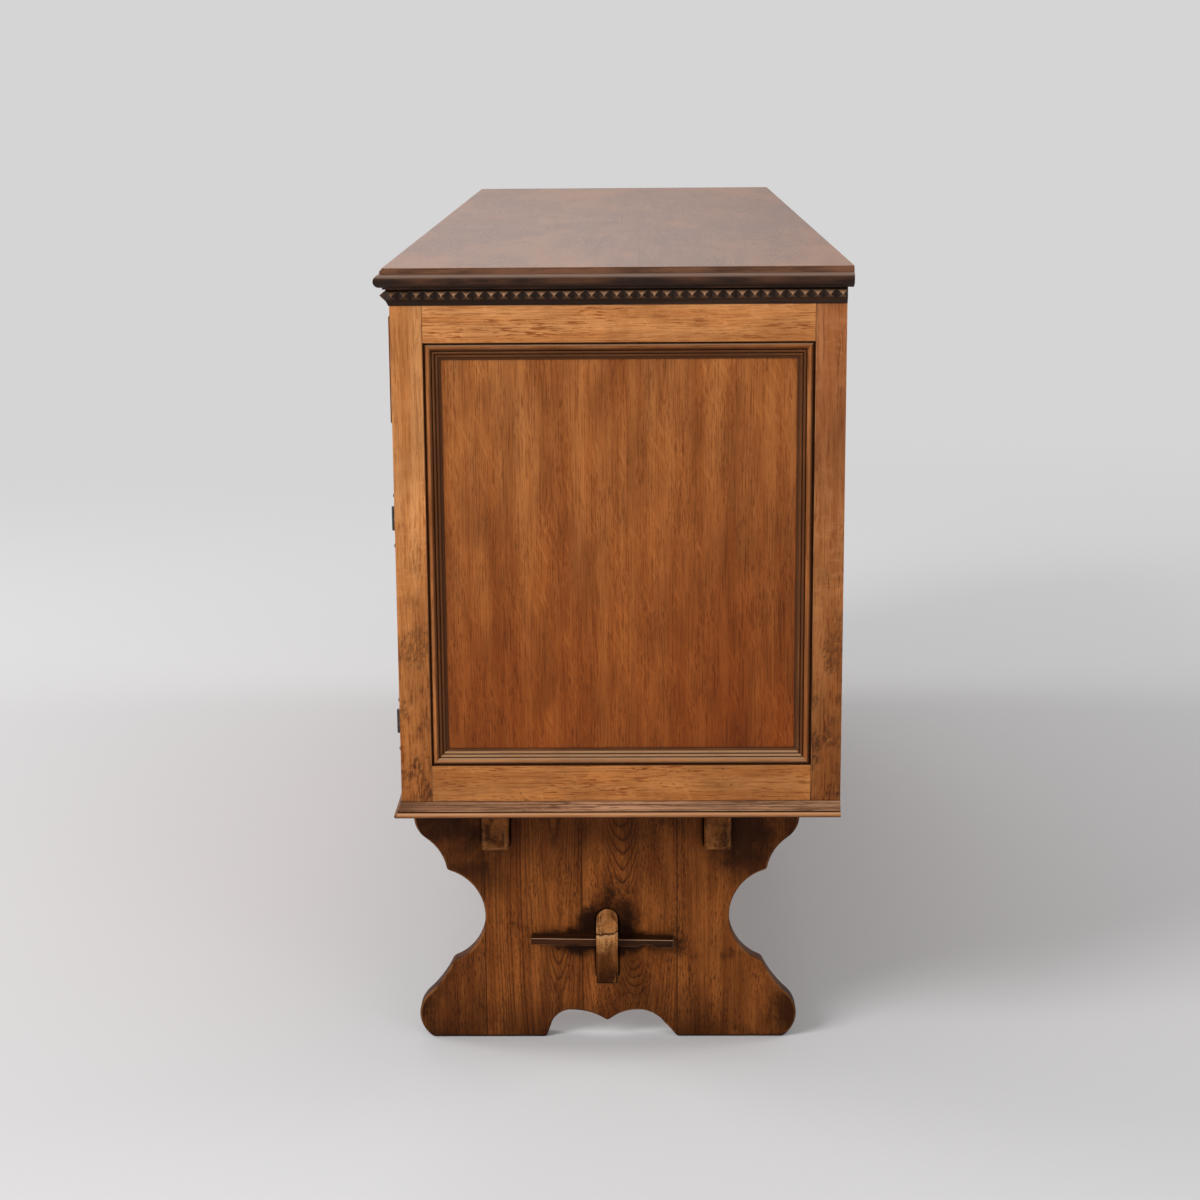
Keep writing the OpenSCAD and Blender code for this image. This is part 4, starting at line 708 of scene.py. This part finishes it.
def tenon_oak():
    """Brown stretcher; its ends are golden and streaked, black low down and cracked over the wedge"""
    s = Shader("tenon_oak", 0.46, shine=0.03)
    colour, height = oak(s, "tenon", ring=3.4 * MM, rings=0.25, streaks=0.35, pores=0.7, fleck=0.1,
                         mottle=0.8)
    place = s.place()
    x, y, z = s.split(place)
    end = beyond_trestle(s, x)
    streaks = s.step(s.noise(place, 20.0, 380.0, 30.0, detail=3.0, roughness=0.6), 0.48, 0.64)
    colour = s.mix(colour, TENON_STREAK, streaks, end, 0.7)

    # Darker the lower, with a ragged limit, and less so at the back
    smoke = s.noise(place, 45.0, 60.0, 30.0, detail=4.0, roughness=0.6)
    low = s.step(s.times_plus(smoke, 0.03, z), TENON_TOP - 0.01, TENON_TOP - 0.028, 0.0, 0.93)
    low = s.times(low, s.step(y, TRESTLE_Y + 9 * MM, TRESTLE_Y + 14 * MM, 1.0, 0.45))
    colour = s.mix(colour, TENON_LOW, low, end)
    lowest = s.step(s.times_plus(smoke, 0.04, z), TENON_TOP - 0.034, TENON_TOP - 0.058, 0.0, 0.85)
    colour = s.mix(colour, TENON_LOWEST, lowest, end)

    # The crack and the pale chip under it, at their depth below the tenon's top
    depth = s.minus(TENON_TOP, s.times_plus(smoke, 0.012, s.times_plus(y, -0.2, z)))
    crack = s.times(s.step(s.apart(depth, 10 * MM), 1.6 * MM, 0.5 * MM), end)
    chip = s.times(s.step(s.apart(depth, 13.5 * MM), 2.2 * MM, 0.8 * MM), end)
    colour = s.mix(colour, TENON_CHIP, chip, 0.45)
    colour = s.mix(colour, SOOT_AND_SHADE, crack, 0.9)
    height = s.minus(height, crack)

    # The brown length between the trestles, and golden patches low on the ends
    length = s.minus(1.0, end)
    colour = s.tint(colour, STRETCHER_TINT, length)
    colour = s.mix(colour, STRETCHER_BROWN, length, 0.55)
    golden = s.step(s.noise(place, 50.0, 160.0, 35.0, detail=4.0, roughness=0.6), 0.5, 0.62)
    golden = s.times(golden, s.step(y, TRESTLE_Y + 2 * MM, TRESTLE_Y + 12 * MM, 0.15, 0.6))
    golden = s.times(golden, s.step(z, TENON_TOP - 0.015, TENON_TOP - 0.035))
    colour = s.mix(colour, TENON_GOLD, golden, end)
    colour = aged(s, colour, wear=TENON_WORN, wear_strength=0.15)
    return s.finish(colour, height, 0.7, 0.6 * MM)


def bearer_oak():
    """Even brown; the ends beyond the trestles are smoked, with paler patches"""
    s = Shader("bearer_oak", 0.46, shine=0.05)
    colour, height = oak(s, "bearer", ring=3.4 * MM, rings=0.3, streaks=0.3, fleck=0.2, mottle=0.6)
    place = s.place()
    end = beyond_trestle(s, s.split(place)[0])
    smoke = s.step(s.noise(place, 45.0, 60.0, 40.0, detail=4.0, roughness=0.6), 0.42, 0.6, 0.0, 0.8)
    colour = s.mix(colour, BEARER_SMOKE, smoke, end)
    patch = s.noise(place, 60.0, 90.0, 70.0, detail=4.0, roughness=0.65, distortion=0.6)
    colour = s.mix(colour, BEARER_PATCH, s.step(patch, 0.52, 0.64, 0.0, 0.6), end)
    colour = s.mix(BEARER_BROWN, colour, s.times_plus(end, 0.5, 0.5))
    colour = aged(s, colour, wear=BEARER_WORN, wear_strength=0.3)
    return s.finish(colour, height, 0.7, 0.6 * MM)


def wedge_oak():
    """Near black with rubbed edges, and a painted highlight on the edges of its faces where they look up"""
    s = Shader("wedge_oak", 0.42, shine=0.06)
    colour, height = oak(s, "wedge", ring=2.6 * MM, rings=0.3, streaks=0.6, pores=0.5, fleck=0.0,
                         mottle=0.8)
    colour = aged(s, colour, wear=WEDGE_WORN)
    # Painted highlight along the edges that look up
    out = s.split(s.facing())
    lit = s.times(s.step(out[2], 0.15, 0.45), s.step(s.absolute(out[0]), 0.15, 0.4), s.rim())
    return s.finish(s.mix(colour, WEDGE_HIGHLIGHT, lit, 0.6), height)


def inside_oak():
    """Plain oak of the drawers' boxes, the shelves and the other boards inside"""
    s = Shader("inside_oak", 0.62)
    colour, height = oak(s, "inside", ring=3.6 * MM, rings=0.35, pores=0.5)
    return s.finish(aged(s, colour, dirt_and_shade=INSIDE_DIRT_AND_SHADE, dirt_and_shade_strength=0.6, wear_strength=0.1), height)


def back_plywood():
    """Plywood with a broad, faint figure"""
    s = Shader("back_plywood", 0.62, shine=0.05)
    colour, height = oak(s, "back", ring=7.0 * MM, rings=0.4, streaks=0.3, pores=0.4, fleck=0.0,
                         mottle=0.14, band=0.4)
    return s.finish(aged(s, colour, dirt_and_shade_strength=0.7, wear_strength=0.1), height, 0.25)


def black_iron():
    """Hammered iron with a little rust, bright along its rubbed edges"""
    s = Shader("black_iron", 0.5, shine=0.4, Metallic=0.75)
    place = s.place()
    hammer = s.noise(place, 150.0)
    rust = s.noise(place, 60.0, detail=4.0, roughness=0.65)
    colour = s.mix(IRON_BLACK, IRON_RUST, s.step(rust, 0.4, 0.7))
    colour = s.mix(colour, IRON_BRIGHT, s.rim(), s.step(rust, 0.35, 0.55, 0.15, 0.7))
    return s.finish(colour, hammer, 0.5, 0.5 * MM, s.step(rust, 0.3, 0.7, 0.38, 0.62))


# Materials by the short names that dress() is given
MATERIALS = {
    "frame": frame_oak(),
    "panel": panel_oak(),
    "trim": trim_oak(),
    "nailhead": nailhead_oak(),
    "base": base_oak(),
    "top": top_oak(),
    "trestle": trestle_oak(),
    "tenon": tenon_oak(),
    "wedge": wedge_oak(),
    "bearer": bearer_oak(),
    "inside": inside_oak(),
    "back": back_plywood(),
    "iron": black_iron(),
}


def loose_solids(bm):
    """The vertices of each separate solid, in the order of the mesh"""
    bm.verts.index_update()
    seen = set()
    for first in bm.verts:
        if first.index in seen:
            continue
        seen.add(first.index)
        solid, waiting = [], [first]
        while waiting:
            vert = waiting.pop()
            solid.append(vert)
            for edge in vert.link_edges:
                other = edge.other_vert(vert)
                if other.index not in seen:
                    seen.add(other.index)
                    waiting.append(other)
        yield solid


def extent(points):
    """Lowest and highest corner of some points"""
    low = Vector([min(p[i] for p in points) for i in range(3)])
    high = Vector([max(p[i] for p in points) for i in range(3)])
    return low, high


def grain_frame(size, along):
    """Axes of a board: along its grain, across its width and through its thickness"""
    order = sorted(range(3), key=lambda i: size[i])
    run = order[2] if along is None else along
    thick, wide = [i for i in order if i != run]
    return run, wide, thick


def heart_of(rng, cut, width):
    """Where the heart of the tree lay for one board: across it, behind it, and its slope along it"""
    if cut == "plain":
        return rng.uniform(-0.22, 0.22) * width, rng.uniform(18, 34) * MM, rng.uniform(0.04, 0.09)
    return rng.uniform(0.16, 0.30) * rng.choice((-1, 1)), rng.uniform(10, 60) * MM, rng.uniform(0.0, 0.015)


def rounded(bm, edge, segments):
    """Rounds the outward edges of the solids and marks the crowns of those edges"""
    rim = bm.verts.layers.float["rim"]
    sharp = [e for e in bm.edges if e.is_convex and e.calc_face_angle(0.0) > BEVEL_ANGLE]
    made = bmesh.ops.bevel(bm, geom=sharp, offset=edge, offset_type="OFFSET", segments=segments,
                           profile=0.5, affect="EDGES", clamp_overlap=True)
    rounds = set(made["faces"])
    for vert in bm.verts:
        vert[rim] = float(all(face in rounds for face in vert.link_faces))


def swept(bm, section, origin, along, out, up, start, end, shade_past_bead=0.0, lit_powder=0.0):
    """Adds a strip: a section moved along a run; start and end are a place and the lean of its mitre

    The last two arguments add painted shade, and pale dust with painted light, to all of the section past
    its bead.
    """
    rim = bm.verts.layers.float["rim"]
    grime_and_shade = bm.verts.layers.float["grime_and_shade"]
    lit_dust = bm.verts.layers.float["lit_dust"]
    rows = []
    for place, lean in (start, end):
        row = []
        for run, height, crown, dirt_and_shade in section:
            at = origin + along * (place + lean * run * MM) + out * (run * MM) + up * (height * MM)
            vert = bm.verts.new(at)
            vert[rim] = crown
            vert[grime_and_shade] = min(1.0, dirt_and_shade + shade_past_bead) if run > BEAD_END else dirt_and_shade
            vert[lit_dust] = lit_powder if run > BEAD_END else 0.4 * lit_powder
            row.append(vert)
        rows.append(row)
    faces = [bm.faces.new(rows[0]), bm.faces.new(rows[1])]
    for index in range(len(section)):
        before = index - 1
        faces.append(bm.faces.new((rows[0][before], rows[0][index], rows[1][index], rows[1][before])))
    bmesh.ops.recalc_face_normals(bm, faces=faces)


def trim_frame(bm, low, high, up):
    """Four mitred strips in a box, their backs towards the case and their faces towards up"""
    thin = max(range(3), key=lambda axis: abs(up[axis]))
    first, second = [axis for axis in range(3) if axis != thin]
    base = low if up[thin] > 0 else high
    for run_axis, out_axis in ((first, second), (second, first)):
        along = Vector([float(axis == run_axis) for axis in range(3)])
        for side, corner in ((1.0, low), (-1.0, high)):
            out = Vector([side * float(axis == out_axis) for axis in range(3)])
            origin = Vector([base[axis] if axis == thin else corner[axis] for axis in range(3)])
            origin[run_axis] = low[run_axis]
            length = high[run_axis] - low[run_axis]
            lowest = out_axis == Z_AXIS and side > 0
            # The top and side strips get painted shade past their beads, the lowest one pale dust and
            # painted light
            shade_past_bead, lit_powder = (0.0, 1.0) if lowest else (0.60, 0.0)
            swept(bm, TRIM_SECTION, origin, along, out, up, (0.0, 1.0), (length, -1.0), shade_past_bead, lit_powder)


def take_out_trims(bm):
    """Removes the thin strips and returns the box that they filled"""
    points, strips = [], []
    for solid in loose_solids(bm):
        low, high = extent([v.co for v in solid])
        if sorted(high - low)[1] < TRIM_WIDTH:
            points += [low, high]
            strips += solid
    bmesh.ops.delete(bm, geom=strips, context="VERTS")
    return extent(points)


def cut_at(bm, y):
    """Parts a solid at a plane across Y, so that each stave is a solid of its own"""
    geometry = bm.verts[:] + bm.edges[:] + bm.faces[:]
    made = bmesh.ops.bisect_plane(bm, geom=geometry, plane_co=(0, y, 0), plane_no=(0, 1, 0), dist=WELD)
    edges = [e for e in made["geom_cut"] if isinstance(e, bmesh.types.BMEdge)]
    parted = bmesh.ops.split_edges(bm, edges=edges)
    bmesh.ops.holes_fill(bm, edges=[e for e in parted["edges"] if e.is_boundary], sides=0)


def node_mesh(node, swept_anew):
    """The node's own solids, or nothing yet where they are swept anew, with the layers for wear, for dirt
    and painted shade, and for dust and painted light
    """
    bm = bmesh.new()
    for layer in ("rim", "grime_and_shade", "lit_dust"):
        bm.verts.layers.float.new(layer)
    if not swept_anew:
        bm.from_mesh(frame["nodes"][node].data)
        bmesh.ops.remove_doubles(bm, verts=bm.verts, dist=WELD)
        bmesh.ops.dissolve_limit(bm, angle_limit=FLAT_ANGLE, verts=bm.verts, edges=bm.edges)
    return bm


def give_grain(bm, node, along, cut, shade, staves, has_trims):
    """Gives each solid a grain, level and strength of figure of its own, and strips their material"""
    grain = bm.verts.layers.float_vector.new("grain")
    tone = bm.verts.layers.float.new("tone")
    figure = bm.verts.layers.float.new("figure")
    solids = [(solid, *extent([v.co for v in solid])) for solid in loose_solids(bm)]
    for index, (solid, low, high) in enumerate(solids):
        rng = random.Random(f"{node} {index}")
        size = high - low
        middle = (low + high) / 2
        is_trim = has_trims and sorted(size)[1] < TRIM_WIDTH
        run, wide, thick = grain_frame(size, None if is_trim else along)
        across, behind, slope = heart_of(rng, "quarter" if is_trim else cut, size[wide])
        strength = 1.0
        shift = rng.uniform(*GRAIN_SHIFT)
        level = shade * rng.uniform(*BOARD_LEVEL)
        if staves:
            stave = sum(middle.y > TRESTLE_Y + joint for joint in STAVE_JOINTS)
            strength, across, behind, slope, own_level = staves[stave]
            level *= own_level
        for vert in solid:
            p = vert.co - middle
            vert[grain] = (p[run] + shift, p[wide] + across, p[thick] + behind + slope * p[run])
            vert[tone] = level
            vert[figure] = strength
            if is_trim:
                for face in vert.link_faces:
                    face.material_index = 1


def dress(node, material, edge=ARRIS, segments=2, along=None, cut="quarter", trims=None, shade=1.0,
          staves=(), runs=()):
    """Rebuilds a node with rounded edges and a grain of its own for each board, and stands in for it

    edge and segments are the rounding. along is the axis of the grain, which is else each board's longest,
    and cut is how the boards were sawn. trims is the way that the node's thin strips face, which are swept
    anew; runs are swept instead of the node. shade is its level, and staves are the parts of a trestle.
    """
    bm = node_mesh(node, bool(runs))
    trim_box = take_out_trims(bm) if trims else None
    rounded(bm, edge, segments)
    if trims:
        trim_frame(bm, *trim_box, trims)
    for run in runs:
        swept(bm, *run)
    if staves:
        for joint in STAVE_JOINTS:
            cut_at(bm, TRESTLE_Y + joint)
    give_grain(bm, node, along, cut, shade, staves, bool(trims))
    for face in bm.faces:
        face.smooth = True
    mesh = bpy.data.meshes.new(f"{node}_dressed")
    bm.to_mesh(mesh)
    bm.free()
    mesh.materials.append(MATERIALS[material])
    if trims:
        mesh.materials.append(MATERIALS["trim"])
    mesh.set_sharp_from_angle(angle=SMOOTH_ANGLE)
    piece = bpy.data.objects.new(f"{node}_dressed", mesh)
    bpy.context.scene.collection.objects.link(piece)
    weighted = piece.modifiers.new("weighted", "WEIGHTED_NORMAL")
    weighted.keep_sharp = True
    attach(piece, BODY_OF[node])
    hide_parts(node)


def dress_base():
    """Base moulding, swept in one run along the front and one along each end"""
    bottom = Z_CASE * UPWARDS
    front_run = (BASE_SECTION, bottom + Y_FRONT * BACKWARDS, LENGTHWAYS, -BACKWARDS, UPWARDS,
                 (-X_END, -1.0), (X_END, 1.0))
    end_runs = [
        (BASE_SECTION, bottom + side * X_END * LENGTHWAYS, BACKWARDS, side * LENGTHWAYS, UPWARDS,
         (Y_FRONT, -1.0), (Y_BACK, 0.0))
        for side in (1, -1)
    ]
    dress("base_moulding_front", "base", runs=[front_run])
    dress("base_moulding_ends", "base", runs=end_runs)


def dress_case():
    """Top, mouldings, both end frames and the front frame with the hinges' fixed leaves"""
    for node in ("top_front_board", "top_back_board"):
        dress(node, "top", along=X_AXIS, cut="plain", edge=TOP_ARRIS)
    for node in ("nailhead_moulding_front", "nailhead_moulding_ends"):
        dress(node, "nailhead", edge=NAILHEAD_ARRIS)
    dress_base()
    for end, outwards in (("right", LENGTHWAYS), ("left", -LENGTHWAYS)):
        dress(f"{end}_front_post", "frame", along=Z_AXIS)
        dress(f"{end}_back_post", "frame", along=Z_AXIS, shade=BACK_POST_SHADE)
        dress(f"{end}_end_rails", "frame", along=Y_AXIS)
        dress(f"{end}_end_panel", "panel", along=Z_AXIS)
        dress(f"{end}_end_trim", "trim", trims=outwards)
    for node in ("front_top_rail", "front_middle_rails", "front_bottom_rail"):
        dress(node, "frame", along=X_AXIS)
    dress("front_muntins", "frame", along=Z_AXIS)
    dress("hinge_fixed_leaves", "iron", edge=FINE_ARRIS)


def dress_inside():
    """Floor, shelves, partitions, runners and back"""
    for node in ("case_floor", "shelves", "back_rails", "shelf_cleats_and_door_stops", "drawer_runners"):
        dress(node, "inside", cut="plain")
    dress("partitions", "inside", along=Z_AXIS, cut="plain")
    dress("back_panel", "back", along=Z_AXIS, cut="plain")


def dress_trestles():
    """Trestle ends, the bearers on them, and the stretcher with its wedges"""
    for end in ("right", "left"):
        dress(f"{end}_trestle", "trestle", along=Z_AXIS, edge=SOFT_ARRIS, segments=3, staves=STAVES)
    dress("bearers", "bearer", along=X_AXIS, edge=SOFT_ARRIS, segments=3)
    dress("stretcher", "tenon", along=X_AXIS, edge=TENON_ARRIS, segments=3)
    dress("tenon_wedges", "wedge", along=Y_AXIS, edge=WEDGE_ARRIS)


def dress_bay(bay):
    """Drawer, door and ironwork of one bay"""
    dress(f"{bay}_drawer_front", "frame", along=X_AXIS, trims=-BACKWARDS)
    dress(f"{bay}_drawer_box", "inside")
    dress(f"{bay}_door_frame", "frame")
    dress(f"{bay}_door_panel", "panel", along=Z_AXIS, edge=FINE_ARRIS, trims=-BACKWARDS)
    for node in ("drawer_plate", "drawer_drop", "door_plate", "door_drop", "door_hinge_leaves"):
        dress(f"{bay}_{node}", "iron", edge=FINE_ARRIS)


def camera():
    """The photograph's camera, which looks along the case towards -X"""
    yaw, pitch, roll = CAMERA_YAW, CAMERA_PITCH, CAMERA_ROLL
    ahead = Vector((-math.cos(yaw) * math.cos(pitch), -math.sin(yaw) * math.cos(pitch), -math.sin(pitch)))
    right = ahead.cross(UPWARDS).normalized()
    up = right.cross(ahead)
    tilted_right = math.cos(roll) * right + math.sin(roll) * up
    tilted_up = math.cos(roll) * up - math.sin(roll) * right
    data = bpy.data.cameras.new("camera")
    data.sensor_fit = "HORIZONTAL"
    data.sensor_width = SENSOR_WIDTH
    data.lens = FOCAL_PX / IMAGE_PX * SENSOR_WIDTH
    data.clip_end = CLIP_END
    made = bpy.data.objects.new("camera", data)
    turn = Matrix((tilted_right, tilted_up, -ahead)).transposed()
    made.matrix_world = Matrix.Translation(CAMERA_AT) @ turn.to_4x4()
    bpy.context.scene.collection.objects.link(made)
    bpy.context.scene.camera = made


def lamp(name, at, towards, size, watts):
    """A soft round lamp that points at a place"""
    data = bpy.data.lights.new(name, "AREA")
    data.shape = "DISK"
    data.size = size
    data.energy = watts
    made = bpy.data.objects.new(name, data)
    made.location = at
    made.rotation_euler = (Vector(towards) - Vector(at)).to_track_quat("-Z", "Y").to_euler()
    bpy.context.scene.collection.objects.link(made)


def any_seen(tree):
    """1 for a ray from the camera or from a gloss or glass surface, else 0"""
    path = tree.nodes.new("ShaderNodeLightPath")
    value = path.outputs["Is Camera Ray"]
    for name in ("Is Glossy Ray", "Is Transmission Ray"):
        either = tree.nodes.new("ShaderNodeMath")
        either.operation = "MAXIMUM"
        tree.links.new(value, either.inputs[0])
        tree.links.new(path.outputs[name], either.inputs[1])
        value = either.outputs[0]
    return value


def studio():
    """The lamps, and a world that is a plain backdrop where it is seen and ambient light elsewhere"""
    for name, settings in LAMPS.items():
        lamp(name, *settings)
    world = bpy.data.worlds.new("studio")
    world.use_nodes = True
    bpy.context.scene.world = world
    tree = world.node_tree
    ambient = tree.nodes["Background"]
    ambient.inputs["Color"].default_value = (*AMBIENT_COLOUR, 1.0)
    ambient.inputs["Strength"].default_value = AMBIENT
    seen = tree.nodes.new("ShaderNodeBackground")
    seen.inputs["Color"].default_value = (*BACKDROP, 1.0)
    seen.inputs["Strength"].default_value = 1.0
    mixed = tree.nodes.new("ShaderNodeMixShader")
    tree.links.new(any_seen(tree), mixed.inputs[0])
    tree.links.new(ambient.outputs[0], mixed.inputs[1])
    tree.links.new(seen.outputs[0], mixed.inputs[2])
    tree.links.new(mixed.outputs[0], tree.nodes["World Output"].inputs["Surface"])


def floor():
    """Pale floor that turns into the backdrop's colour away from the object"""
    mesh = bpy.data.meshes.new("floor")
    corners = [(FLOOR_HALF * x, FLOOR_HALF * y, 0) for x, y in ((-1, -1), (1, -1), (1, 1), (-1, 1))]
    mesh.from_pydata(corners, [], [(0, 1, 2, 3)])
    s = Shader("floor", 0.9)
    s.principled.inputs["Base Color"].default_value = (*BACKDROP, 1.0)
    away = s.step(s.vector_math("LENGTH", s.place()), *FLOOR_FADE)
    glow = s.node("ShaderNodeEmission")
    glow.inputs["Color"].default_value = (*BACKDROP, 1.0)
    mixed = s.node("ShaderNodeMixShader")
    s.put(mixed.inputs[0], s.times(away, any_seen(s.tree)))
    s.put(mixed.inputs[1], s.principled.outputs[0])
    s.put(mixed.inputs[2], glow.outputs[0])
    s.put(s.tree.nodes["Material Output"].inputs["Surface"], mixed.outputs[0])
    mesh.materials.append(s.material)
    made = bpy.data.objects.new("floor", mesh)
    bpy.context.scene.collection.objects.link(made)


camera()
studio()
floor()
dress_case()
dress_inside()
dress_trestles()
for bay in BAYS:
    dress_bay(bay)
bpy.context.scene.view_settings.view_transform = "Standard"
